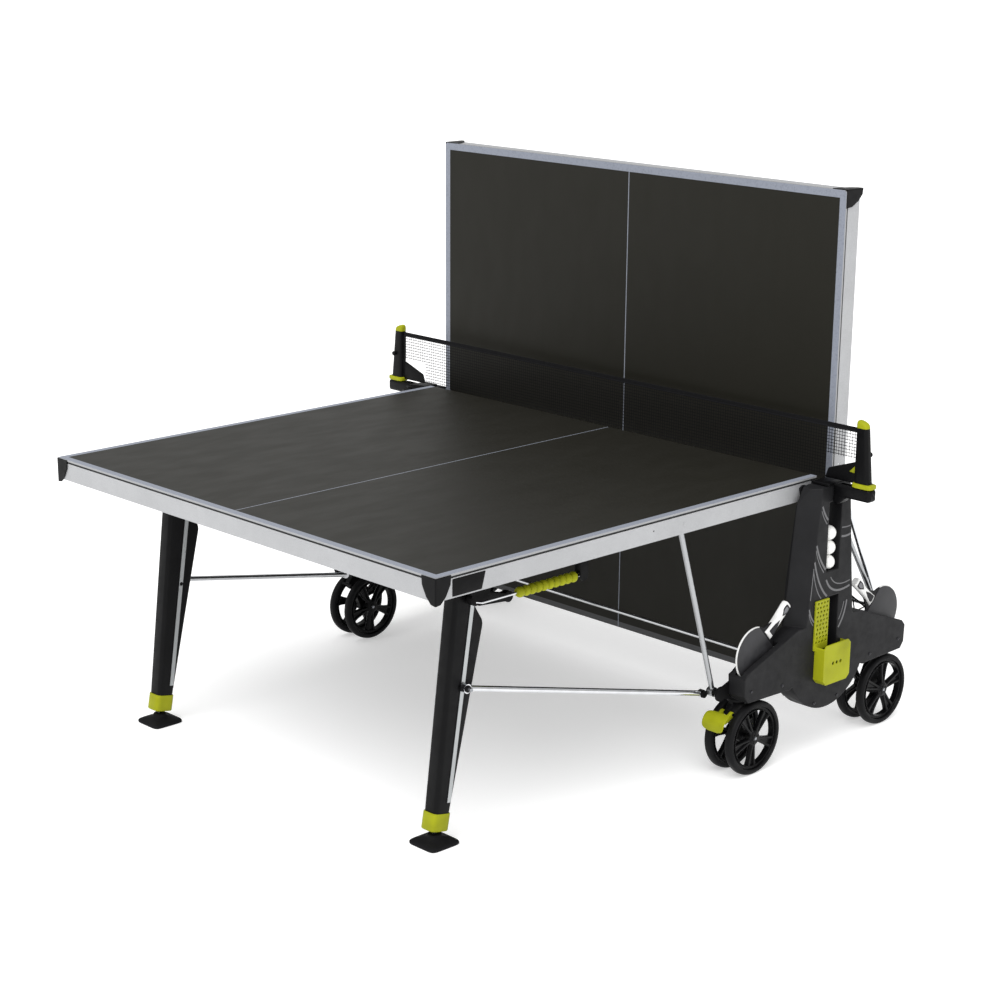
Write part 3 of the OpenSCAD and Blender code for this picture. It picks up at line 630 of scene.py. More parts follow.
class TABLETENNIS_OT_legs(bpy.types.Operator):
    """Legs with their pins, steel strips, rings and levelling feet"""

    bl_idname = "tabletennis.legs"
    bl_label = "Legs"

    # in the frame of a leg: the middle and width of a leg, its shape seen from the side, the pin of
    # the link rod, the ends of the ring, and the foot of the levelling foot
    middle = 0.573
    width = 0.046
    outline = [
        (-0.029, 0.010), (-0.020, 0.028), (0.0, 0.030), (0.020, 0.028), (0.030, 0.010), (0.037, -0.079),
        (0.1055, -0.632), (0.0575, -0.640), (-0.058, -0.159), (-0.056, -0.146), (-0.025, -0.096),
        (-0.029, -0.02),
    ]
    link_pin = (0.014, -0.303)
    ring_top, ring_bottom = (0.0780, -0.6170), (0.0865, -0.6615)
    ring_across = (0.0550, 0.0110)
    foot_base = (0.087, -0.700)

    def execute(self, context):
        chosen = colours()
        plastic = moulded_plastic("leg plastic", tuple(chosen.black_colour), 0.4, grain=0.0012, depth=0.0001)
        steel = bright_plating("zinc plated pins", (0.35, 0.36, 0.38), 0.22)
        strip = drawn_metal("brushed steel strip", (0.4, 0.415, 0.42), 0.3)
        accent = tuple(chosen.accent_colour)
        ring = moulded_plastic("yellow-green plastic", accent, 0.36, edge=0.002, edge_highlight=1.15)
        pad = soft_rubber("foot rubber", tinted(chosen.black_colour, 1.4))
        dress(strip, *both("leg_strips"))
        for end in ENDS:
            mesh = bmesh.new()
            place = leg_place(end)
            for side in (-1, 1):
                self.leg(mesh, place, side)
            name = f"legs_{end}"
            finished(f"moulded_{name}", mesh, (plastic, steel), name, replaces=[name])
            mesh = bmesh.new()
            for side in (-1, 1):
                self.ring(mesh, side)
            moved(mesh, 0, place)
            name = f"leg_rings_{end}"
            finished(f"moulded_{name}", mesh, ring, f"legs_{end}", replaces=[name])
            for side in SIDES:
                self.foot(end, side, (pad, steel))
        return {"FINISHED"}

    def leg(self, mesh, place, side):
        """A leg with the pin it turns on, the pin of its link rod and that pin's cap."""
        start = len(mesh.verts)
        middle = side * self.middle
        outline = soft_outline(self.outline, 0.02, 6)
        prism(mesh, outline, middle - self.width / 2, middle + self.width / 2, rounding=0.011, steps=5)
        self.pin(mesh, (middle, 0, 0), 0.0079, 0.032)
        self.pin(mesh, (side * 0.612, *self.link_pin), 0.0049, 0.017)
        cap = [
            (0.0, 0.001), (0.0, 0.0086), (0.0012, 0.0092), (0.0024, 0.0086), (0.0034, 0.005), (0.0034, 0.001),
        ]
        outward = [(side * out, radius) for out, radius in cap]
        turned(mesh, outward, (middle + side * 0.0421, *self.link_pin), "X", 24)
        moved(mesh, start, place)

    def pin(self, mesh, centre, radius, reach):
        """A round pin with eased ends, reach long each way."""
        ease, eye = 0.001, 0.001
        half = [(reach, eye), (reach, radius * 0.85), (reach - ease, radius)]
        turned(mesh, mirrored(half), centre, "X", 24, finish=1)

    def ring(self, mesh, side):
        """The ring around the foot of a leg, with its top and bottom edges eased."""
        top, bottom = Vector(self.ring_top), Vector(self.ring_bottom)
        across = Vector(self.ring_across).normalized()
        rings = []
        for t, share in ((0, 0.975), (0.02, 0.995), (0.05, 1), (0.92, 1), (0.97, 0.99), (1, 0.96)):
            ring = []
            for a, b in squarish(0.0246 * share, 0.0292 * share, 4.6, 48):
                ring.append(Vector((side * self.middle + a, *(top.lerp(bottom, t) + across * b))))
            rings.append(ring)
        loft(mesh, rings)

    def foot(self, end, side, finish):
        """A foot pad, lofted from (half width, height, squareness), and its threaded stem."""
        levels = [
            (0.0445, 0.0, 7), (0.0472, 0.0012, 7), (0.048, 0.003, 7), (0.048, 0.0068, 7),
            (0.0465, 0.0092, 6.5), (0.0425, 0.0115, 5.5), (0.035, 0.0138, 4), (0.026, 0.0165, 2.8),
            (0.0205, 0.0195, 2.2), (0.0182, 0.0228, 2), (0.0165, 0.0277, 2),
        ]
        stem = [(0.0055, 0.026, 2), (0.006, 0.027, 2), (0.006, 0.0835, 2)]
        mesh = bmesh.new()
        for shape, count, material in ((levels, 48, 0), (stem, 24, 1)):
            rings = []
            for half, z, power in shape:
                rings.append([Vector((*point, z)) for point in squarish(half, half, power, count)])
            loft(mesh, rings, finish=material)
        across = leg_side(end, side) * self.middle
        moved(mesh, 0, leg_place(end) @ Matrix.Translation((across, *self.foot_base)))
        name = f"foot_pad_{end}_{side}"
        finished(f"levelling_foot_{end}_{side}", mesh, finish, name, replaces=[name])


class TABLETENNIS_OT_rods(bpy.types.Operator):
    """Struts, link rods, cross rods and release handles"""

    bl_idname = "tabletennis.rods"
    bl_label = "Struts and rods"

    def execute(self, context):
        for end, lean in (("front", 17.5), ("rear", 32.3)):
            tube = drawn_metal(f"strut tube {end}", (0.4, 0.41, 0.42), 0.3, math.radians(lean))
            dress(tube, f"struts_{end}")
        chrome = bright_plating("bright rods", (0.7, 0.71, 0.73), 0.1)
        dress(chrome, *both("link_rods"), *both("release_rod"), "cross_rods")
        self.grips(soft_rubber("yellow-green grip", tuple(colours().accent_colour), 0.5))
        self.bolts(bright_plating("zinc bolts", (0.4, 0.41, 0.43), 0.22))
        return {"FINISHED"}

    def grips(self, finish):
        """The ribbed sleeve on each release rod."""
        x, start, depth = -0.640, 0.790, -0.143
        pitch, ribs = 0.0204, 10
        for end in ENDS:
            mesh = bmesh.new()
            profile = [(0.0, 0.0036)]
            for k in range(ribs * 12 + 1):
                swell = abs(math.sin(math.pi * k / 12)) ** 0.55
                profile.append((pitch * k / 12, 0.0070 + 0.0068 * swell))
            profile.append((pitch * ribs, 0.0036))
            turned(mesh, profile, (x, start, depth), "Y", 36)
            moved(mesh, 0, half_place(end))
            name = f"release_grip_{end}"
            finished(f"ribbed_{name}", mesh, finish, f"release_handle_{end}", replaces=[name])

    def bolts(self, finish):
        """Bolt heads on the pod's side of each strut's foot and on its top eye."""
        inner_face, foot = 0.7371, (0.3746, 0.238)
        for end, top in (("front", (0.525, 0.714)), ("rear", (0.108, 0.660))):
            mesh = bmesh.new()
            for side in (-1, 1):
                for y, z in (foot, top):
                    spot = (side * inner_face, NET_Y + OUTWARD[end] * y, z)
                    screw_head(mesh, spot, (-side, 0, 0), 0.0072)
            finished(f"strut_bolts_{end}", mesh, finish, f"struts_{end}")


class TABLETENNIS_OT_pods(bpy.types.Operator):
    """Moulded pods with their stripes, plates, ball dispensers, balls and net posts"""

    bl_idname = "tabletennis.pods"
    bl_label = "Pods"

    # printed strokes on the outer face: three points (y, z) of a curve, and its width
    strokes = [
        ((-0.0246, 0.4903), (0.0000, 0.4360), (0.0790, 0.4549), 0.0058),
        ((-0.0060, 0.4944), (0.0160, 0.4580), (0.0790, 0.4697), 0.0030),
        ((-0.0780, 0.5496), (-0.0580, 0.4760), (-0.0185, 0.4433), 0.0058),
        ((-0.0800, 0.5220), (-0.0700, 0.4680), (-0.0430, 0.4420), 0.0030),
        ((-0.0805, 0.5320), (-0.0840, 0.4900), (-0.0885, 0.4450), 0.0030),
        ((0.0700, 0.4154), (0.0640, 0.3720), (0.0385, 0.3436), 0.0058),
        ((0.0580, 0.4130), (0.0520, 0.3860), (0.0385, 0.3660), 0.0030),
        ((-0.0910, 0.4210), (-0.0860, 0.3980), (-0.0677, 0.3804), 0.0050),
        ((-0.0910, 0.4080), (-0.0870, 0.3880), (-0.0715, 0.3720), 0.0028),
        ((-0.0560, 0.6980), (-0.0470, 0.6750), (-0.0305, 0.6570), 0.0058),
        ((-0.0580, 0.6860), (-0.0500, 0.6640), (-0.0335, 0.6460), 0.0030),
        ((-0.0730, 0.5940), (-0.0600, 0.5520), (-0.0300, 0.5200), 0.0058),
        ((-0.0745, 0.5810), (-0.0650, 0.5450), (-0.0370, 0.5130), 0.0030),
        ((0.0315, 0.6255), (0.0500, 0.6220), (0.0710, 0.6243), 0.0030),
        ((0.0315, 0.6010), (0.0500, 0.5960), (0.0735, 0.6015), 0.0058),
    ]
    # turns an outline drawn in the (Y, Z) plane into the (X, Z) plane
    sideways = Matrix.Rotation(math.pi / 2, 4, "Z")

    def execute(self, context):
        chosen = colours()
        cover = moulded_plastic("pod plastic", tuple(chosen.pod_colour), 0.46, edge=0.005, edge_highlight=1.25)
        plate = powder_coat("black plate coat", tuple(chosen.black_colour), 0.5, 0.0, 0.25)
        stripe = powder_coat("grey print", (0.15, 0.15, 0.155), 0.5, 0.0, 0.06, edge=0.0001)
        accent = moulded_plastic("cup plastic", tuple(chosen.accent_colour), 0.34, edge=0.002, edge_highlight=1.15)
        post = moulded_plastic("net post plastic", tuple(chosen.black_colour), 0.36, edge=0.003)
        screw = bright_plating("black screws", (0.05, 0.05, 0.055), 0.3)
        for side in SIDES:
            dress(cover, f"pod_cover_{side}")
            dress(plate, f"pod_plate_{side}")
            dress(accent, f"ball_dispenser_{side}")
            self.post(side, post)
            self.stripes(side, stripe)
            self.screws(side, screw)
        self.trims(accent)
        self.balls()
        return {"FINISHED"}

    def post(self, side, finish):
        """The arm, clamp, column and tension plate at one end of the net."""
        mesh = bmesh.new()
        arm = soft_outline(rectangle(0.0168, 0.7210, 0.7550), 0.009, 5)
        prism(mesh, arm, 0.834, 0.9475, rounding=0.009, steps=4)
        clamp = soft_outline(rectangle(0.040, 0.7484, 0.7568), 0.002, 3)
        prism(mesh, clamp, 0.778, 0.834, rounding=0.003, steps=3)
        neck = soft_outline(rectangle(0.012, 0.753, 0.771), 0.003, 3)
        prism(mesh, neck, 0.896, 0.938, rounding=0.004, steps=3)
        foot, rise, steps = 0.768, 0.1455, 16
        rings = []
        for k in range(steps + 1):
            t = k / steps
            x, half_x, half_y = 0.9135 - 0.008 * t, 0.0236 - 0.007 * t, 0.0138 - 0.0022 * t
            ring = squarish(half_x, half_y, 3.6, 44)
            rings.append([Vector((x + a, b, foot + rise * t)) for a, b in ring])
        loft(mesh, rings)
        brace = [
            (-0.8303, 0.700), (-0.8303, 0.755), (-0.890, 0.755), (-0.890, 0.724), (-0.872, 0.7225),
            (-0.848, 0.700),
        ]
        prism(mesh, soft_outline(brace, 0.008, 4), -0.0158, 0.0158, self.sideways, rounding=0.004, steps=3)
        plate = [(-0.790, 0.7625), (-0.8935, 0.7625), (-0.8935, 0.823), (-0.800, 0.790)]
        prism(mesh, soft_outline(plate, 0.004, 4), -0.0021, 0.0021, self.sideways, rounding=0.0008, steps=2)
        knob = [
            (0.0, 0.001), (0.0, 0.0045), (0.003, 0.0048), (0.0035, 0.0068), (0.0078, 0.0066), (0.009, 0.0052),
            (0.009, 0.001),
        ]
        turned(mesh, knob, (0.918, 0.0125, 0.842), "Y", 28)
        moved(mesh, 0, pod_place(side))
        name = f"net_post_{side}"
        finished(f"moulded_{name}", mesh, finish, "chassis", replaces=[name])

    def trims(self, finish):
        """The band around the foot of each post, its cap, and the cleat that holds the net."""
        mesh = bmesh.new()
        for side in SIDES:
            start = len(mesh.verts)
            rings = []
            for z, half_x, half_y in (
                (0.7556, 0.0295, 0.0166), (0.7564, 0.0308, 0.0176), (0.7600, 0.0314, 0.0180),
                (0.7640, 0.0314, 0.0180), (0.7668, 0.0308, 0.0176), (0.7676, 0.0290, 0.0162),
            ):
                rings.append([Vector((0.9175 + a, b, z)) for a, b in squarish(half_x, half_y, 4.5, 48)])
            loft(mesh, rings)
            rings = []
            for t, share in ((0, 1), (0.35, 0.99), (0.62, 0.93), (0.82, 0.8), (0.94, 0.6), (1, 0.35)):
                ring = []
                for a, b in squarish(0.0170 * share, 0.0120 * share, 3.4, 44):
                    ring.append(Vector((0.9055 + a - 0.002 * t, b, 0.9138 + 0.0185 * t - 0.3 * a * t)))
                rings.append(ring)
            loft(mesh, rings)
            cleat = soft_outline([(-0.871, 0.7925), (-0.8885, 0.7905), (-0.8885, 0.810)], 0.002, 3)
            prism(mesh, cleat, -0.0055, -0.0024, self.sideways, rounding=0.0006, steps=2)
            moved(mesh, start, pod_place(side))
        name = "net_post_trims"
        finished(f"moulded_{name}", mesh, finish, "chassis", replaces=[name])

    def stripes(self, side, finish):
        """The printed strokes on the outer face of a pod."""
        mesh = bmesh.new()
        steps = 24
        for *controls, width in self.strokes:
            path = [(COVER_X, *along_curve(controls, k / steps)) for k in range(steps + 1)]
            ribbon(mesh, path, width, (1, 0, 0))
        moved(mesh, 0, pod_place(side))
        finished(f"pod_stripes_{side}", mesh, finish, "chassis")

    def screws(self, side, finish):
        """Screws through the outer face of a pod, on both sides of its middle."""
        mesh = bmesh.new()
        for y, z in ((0.318, 0.246), (0.19, 0.232), (0.05, 0.146)):
            for way in (-1, 1):
                screw_head(mesh, (COVER_X + 0.0002, way * y, z), (1, 0, 0), 0.0045)
        moved(mesh, 0, pod_place(side))
        finished(f"pod_screws_{side}", mesh, finish, "chassis")

    def balls(self):
        """Three balls in the channel of each pod, each with the seam of its two halves."""
        made = Finish("ball shell", 0.38, Subsurface_Weight=0.12)
        made.shader.inputs["Subsurface Radius"].default_value = (0.004, 0.004, 0.004)
        scuff = made.noise(0.006, 5)
        made.colour(made.mix(made.spread(scuff, 0, 1, 0.5, 0.8), (0.86, 0.86, 0.84), (0.7, 0.7, 0.68)))
        made.roughness(made.spread(scuff, 0.32, 0.5))
        material = made.normal(made.bump(made.noise(0.0012, 2), 0.12, 0.00008))
        mesh = bmesh.new()
        radius, spacing, x, lowest = 0.020, 0.0403, 0.811, 0.5323
        for side in SIDES:
            for k in range(3):
                start = len(mesh.verts)
                bmesh.ops.create_icosphere(mesh, subdivisions=4, radius=radius)
                mesh.verts.ensure_lookup_table()
                for vert in mesh.verts[start:]:
                    seam = math.exp(-((vert.co.y / 0.0009) ** 2))
                    vert.co *= 1 - 0.004 * seam
                moved(mesh, start, pod_place(side) @ Matrix.Translation((x, 0, lowest + k * spacing)))
        finished("table_tennis_balls", mesh, material, "chassis", sharp=80, replaces=["balls"])


class TABLETENNIS_OT_net(bpy.types.Operator):
    """Net with its threads and its folded tape, stretched between the posts"""

    bl_idname = "tabletennis.net"
    bl_label = "Net"

    def execute(self, context):
        sizes = context.scene.table_tennis_net
        low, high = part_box("net_mesh")
        tape_low, tape_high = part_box("net_tape")
        self.threads(sizes, low, high)
        self.tape(sizes, tape_low, tape_high)
        return {"FINISHED"}

    def threads(self, sizes, low, high):
        """Upright and level threads as thin strips, cut out around the tension plates."""
        reach, notch, notch_top = high.x, 0.790, TABLE_TOP + 0.068
        mesh = bmesh.new()
        area = 0.0
        columns = int(2 * reach / sizes.pitch)
        rows = int((high.z - low.z) / sizes.pitch)
        step_x, step_z = 2 * reach / columns, (high.z - low.z) / rows

        def strip(x0, x1, z0, z1, offset):
            corners = [(x0, z0), (x1, z0), (x1, z1), (x0, z1)]
            mesh.faces.new([mesh.verts.new((x, NET_Y + offset, z)) for x, z in corners])
            return (x1 - x0) * (z1 - z0)

        half = sizes.thread / 2
        for k in range(columns + 1):
            x = -reach + step_x * k
            foot = notch_top if abs(x) > notch else low.z
            x0, x1 = max(x - half, -reach), min(x + half, reach)
            area += strip(x0, x1, foot, high.z, 0.0003)
        for k in range(rows + 1):
            z = low.z + step_z * k
            side = notch if z < notch_top else reach
            z0, z1 = max(z - half, low.z), min(z + half, high.z)
            area += strip(-side, side, z0, z1, -0.0003)
        material = knotted_cord("net thread", (0.005, 0.005, 0.006))
        net = finished("net_threads", mesh, material, "chassis", replaces=["net_mesh"])

    def tape(self, sizes, low, high):
        """The tape, folded over the top of the net and slightly rippled."""
        radius = 0.00125
        foot, shoulder = high.z - sizes.tape, high.z - radius - 0.0001
        section = [(-radius, foot), (-radius * 1.08, (foot + shoulder) / 2), (-radius, shoulder)]
        section += [
            (-radius * math.cos(a), shoulder + radius * math.sin(a))
            for a in (math.pi * k / 8 for k in range(1, 8))
        ]
        section += [(radius, shoulder), (radius * 1.08, (foot + shoulder) / 2), (radius, foot)]
        mesh = bmesh.new()
        steps = 240
        rows = []
        for k in range(steps + 1):
            x = low.x + (high.x - low.x) * k / steps
            ripple = 0.00012 * math.sin(k * 0.9) + 0.00008 * math.sin(k * 2.3 + 1)
            rows.append([mesh.verts.new((x, NET_Y + y + ripple, z)) for y, z in section])
        for first, second in zip(rows, rows[1:]):
            for k in range(len(section) - 1):
                mesh.faces.new((first[k], first[k + 1], second[k + 1], second[k]))
        material = woven_tape("net tape weave", (0.006, 0.006, 0.007))
        name = "net_tape"
        tape = finished("net_top_tape", mesh, material, "chassis", sharp=80, replaces=[name])


class TABLETENNIS_OT_casters(bpy.types.Operator):
    """Casters: forks, twin wheels with ribbed spokes, and brake pedals"""

    bl_idname = "tabletennis.casters"
    bl_label = "Casters"

    radius = 0.102
    half_width = 0.012

    def execute(self, context):
        chosen = colours()
        fork = moulded_plastic("fork plastic", tuple(chosen.black_colour), 0.36, edge=0.002)
        black = tuple(chosen.black_colour)
        hub = moulded_plastic("wheel hub plastic", black, 0.26, grain=0.002, depth=0.00005)
        tread = soft_rubber("wheel tread", tinted(chosen.black_colour, 1.2), 0.55)
        steel = bright_plating("axle steel", (0.3, 0.31, 0.33), 0.25)
        pedal = moulded_plastic("pedal plastic", tuple(chosen.accent_colour), 0.36, edge=0.002, edge_highlight=1.15)
        for end, side in (("front", "right"), ("rear", "left")):
            self.pedal(end, side, pedal)
        for end in ENDS:
            for side in SIDES:
                dress(fork, f"caster_fork_{end}_{side}")
                mesh = bmesh.new()
                for outward in (-1, 1):
                    self.wheel(mesh, outward)
                moved(mesh, 0, caster_place(end, side))
                name = f"wheels_{end}_{side}"
                finished(f"twin_{name}", mesh, (hub, tread, steel), name, replaces=[name])
        return {"FINISHED"}

    def pedal(self, end, side, finish):
        """A curved paddle on two arms, in the frame of its caster."""
        mesh = bmesh.new()
        arm = [
            (-0.0345, 0.1868), (-0.0262, 0.178), (-0.0325, 0.1695), (-0.062, 0.1560), (-0.077, 0.1660),
            (-0.060, 0.1735),
        ]
        arm, half_arm = soft_outline(arm, 0.005, 4), 0.0045
        for x in (-0.015, 0.015):
            prism(mesh, arm, x - half_arm, x + half_arm, rounding=0.0015, steps=3)
        spine = ((-0.060, 0.1835), (-0.082, 0.181), (-0.093, 0.163), (-0.090, 0.1405))
        slopes = [Vector(after) - Vector(before) for before, after in zip(spine, spine[1:])]
        half_width, steps = 0.037, 18
        rings = []
        for k in range(steps + 1):
            t = k / steps
            spot, slope = along_curve(spine, t), along_curve(slopes, t).normalized()
            half = half_width * (1 - abs(1.94 * t - 0.97) ** 5) ** 0.4
            thick = 0.0024 if 0 < k < steps else 0.0012
            ring = []
            for a, b in squarish(half, thick, 3.0, 40):
                bowed = b - 0.003 * (a / half_width) ** 2
                ring.append(Vector((a, spot.x - slope.y * bowed, spot.y + slope.x * bowed)))
            rings.append(ring)
        loft(mesh, rings)
        moved(mesh, 0, caster_place(end, side))
        name = f"brake_pedal_{end}_{side}"
        finished(f"curved_{name}", mesh, finish, name, replaces=[name])

    def wheel(self, mesh, outward):
        """One wheel of a pair, on the inner (-1) or outer (1) side, in the frame of its caster."""
        start = len(mesh.verts)
        w, r = self.half_width, self.radius
        tyre = [
            (w * 0.9, 0.0895), (w, 0.0905), (w, 0.0950), (w * 0.86, 0.0990), (w * 0.6, r - 0.0008),
            (w * 0.25, r),
        ]
        rim = [
            (w * 0.9, 0.0900), (w * 0.96, 0.0885), (w * 0.9, 0.0870), (w * 0.45, 0.0850), (w * 0.4, 0.0795),
            (w * 0.75, 0.0785), (w * 0.75, 0.0772),
        ]
        hub = [(0.0115, 0.0066), (0.0115, 0.0095), (0.0095, 0.0105), (0.0095, 0.0175), (0.0075, 0.0205)]
        turned(mesh, mirrored(tyre), (0, 0, 0), "X", 96, finish=1)
        turned(mesh, mirrored(rim), (0, 0, 0), "X", 96)
        turned(mesh, mirrored(hub), (0, 0, 0), "X", 48)
        self.spokes(mesh)
        for k in range(6):
            turn = math.radians(60 * k)
            for face in (-1, 1):
                spot = (face * 0.0094, 0.0142 * math.cos(turn), 0.0142 * math.sin(turn))
                screw_head(mesh, spot, (face, 0, 0), 0.0022)
        cap = [(0.0, 0.0008), (0.0, 0.0062), (0.0016, 0.0062), (0.003, 0.004), (0.0034, 0.0008)]
        turned(mesh, [(outward * (0.0102 + a), q) for a, q in cap], (0, 0, 0), "X", 24, finish=2)
        spin = Matrix.Rotation(math.radians(14 * outward), 4, "X")
        moved(mesh, start, Matrix.Translation((outward * 0.035, 0.030, self.radius)) @ spin)

    def spokes(self, mesh):
        """Five pairs of ribs around the hub, each pair joined by a thin web."""
        # distance from the hub's middle, half width and half thickness along a rib
        rib = (
            (0.016, 0.0042, 0.0088), (0.034, 0.0036, 0.0076), (0.060, 0.0032, 0.0066),
            (0.0795, 0.0046, 0.0078),
        )
        web = [(-0.0042, 0.020), (0.0042, 0.020), (0.0125, 0.0785), (-0.0125, 0.0785)]
        for k in range(5):
            turn = Matrix.Rotation(math.radians(72 * k + 90), 4, "X")
            for lean in (-1, 1):
                first = len(mesh.verts)
                rings = []
                for along, wide, thick in rib:
                    rings.append([Vector((x, y, along)) for x, y in squarish(thick, wide, 5, 20)])
                loft(mesh, rings)
                moved(mesh, first, turn @ Matrix.Rotation(math.radians(9 * lean), 4, "X"))
            prism(mesh, web, -0.0022, 0.0022, turn)


class TABLETENNIS_OT_bats(bpy.types.Operator):
    """Four bats in the pockets of the pods"""

    bl_idname = "tabletennis.bats"
    bl_label = "Bats"

    # the middle of a blade, from the middle of the table and the net line, and its lean in degrees
    pocket = (0.7975, 0.272, 0.330)
    lean = 48

    def execute(self, context):
        sizes = context.scene.table_tennis_bat
        white = (0.7, 0.7, 0.69)
        finishes = [
            moulded_plastic("bat core", (0.012, 0.012, 0.013), 0.4),
            self.rubber(),
            moulded_plastic("white bat plastic", white, 0.3, grain=0.002, depth=0.00004, edge_highlight=1.05),
            moulded_plastic("dark bat plastic", (0.02, 0.02, 0.022), 0.35, grain=0.001),
            moulded_plastic("grey bat plastic", (0.16, 0.16, 0.17), 0.4, grain=0.001),
        ]
        for end in ENDS:
            for side in SIDES:
                name = f"bat_{end}_{side}"
                mesh = bmesh.new()
                self.bat(mesh, sizes)
                x, y, height = self.pocket
                spot = Matrix.Translation((OUTWARD[side] * x, NET_Y + OUTWARD[end] * y, height))
                lean = math.radians(self.lean * OUTWARD[end])
                moved(mesh, 0, spot @ Matrix.Rotation(lean, 4, "X"))
                finished(f"table_tennis_{name}", mesh, finishes, name, replaces=[name])
        return {"FINISHED"}

    def rubber(self):
        """Pimpled rubber, duller where it has been used."""
        made = Finish("bat rubber", 0.5, Specular_IOR_Level=0.35)
        dots = made.node("TexVoronoi", {"Vector": made.place, "Scale": 480.0}).outputs["Distance"]
        used = made.noise(0.03, 4)
        made.colour(made.mix(made.spread(used, 0, 1), (0.02, 0.02, 0.022), (0.036, 0.036, 0.039)))
        made.roughness(made.spread(used, 0.42, 0.62))
        return made.normal(made.bump(dots, 0.15, 0.0003))

    def bat(self, mesh, sizes):
        """A bat with the middle of its blade at the origin and its handle along Z."""
        r = sizes.blade_radius
        wood, top = sizes.blade_thickness / 2, sizes.blade_thickness / 2 + sizes.rubber
        start, stop = math.radians(68), math.radians(-248)
        turns = [start + (stop - start) * k / 60 for k in range(61)]
        blade = [(r * math.cos(t), r * math.sin(t)) for t in turns]
        neck = [(-0.018, 0.088), (-0.0135, 0.097), (0.0135, 0.097), (0.018, 0.088)]
        prism(mesh, blade + neck, -wood, wood, rounding=0.0006, steps=2)
        start, stop = math.radians(52), math.radians(-232)
        turns = [start + (stop - start) * k / 56 for k in range(57)]
        sheet = [((r - 0.0016) * math.cos(t), (r - 0.0016) * math.sin(t)) for t in turns]
        for low, high in ((wood, top), (-top, -wood)):
            prism(mesh, sheet, low + 0.0001, high - 0.0001, rounding=0.0005, steps=2, finish=1)
        rings = []
        for t in turns:
            spoke = Vector((0, math.cos(t), math.sin(t)))
            corners = [
                (-wood, -0.0016), (-wood * 1.15, 0.0002), (-wood * 0.8, 0.0011),
                (wood * 0.8, 0.0011), (wood * 1.15, 0.0002), (wood, -0.0016),
            ]
            rings.append([spoke * (r + out) + Vector((x, 0, 0)) for x, out in corners])
        loft(mesh, rings, finish=2)
        handle = [
            (0.0625, 0.0170, 0.0052), (0.066, 0.0160, 0.0082), (0.078, 0.0140, 0.0098),
            (0.098, 0.0122, 0.0104), (0.120, 0.0118, 0.0106), (0.142, 0.0126, 0.0106),
            (0.158, 0.0136, 0.0106), (0.166, 0.0134, 0.0102), (sizes.handle_end, 0.0118, 0.0088),
        ]
        rings = []
        for z, wide, thick in handle:
            rings.append([Vector((b, a, z)) for a, b in squarish(wide, thick, 3.2, 32)])
        loft(mesh, rings, finish=2)
        shield = [(-0.0095, 0.163), (0.0095, 0.163), (0.0105, 0.146), (0.0, 0.128), (-0.0105, 0.146)]
        flash = [(-0.0105, 0.072), (0.0105, 0.072), (0.007, 0.098), (0.0, 0.118), (-0.007, 0.098)]
        shield, flash = soft_outline(shield, 0.004, 4), soft_outline(flash, 0.004, 4)
        middle = 0.149
        inner = [(y * 0.62, middle + (z - middle) * 0.66) for y, z in shield]
        for side in (-1, 1):
            for outline, reach, finish in ((shield, 0.01085, 3), (inner, 0.01105, 4), (flash, 0.0108, 3)):
                low, high = sorted((side * 0.0085, side * reach))
                prism(mesh, outline, low, high, rounding=0.0003, steps=2, finish=finish)


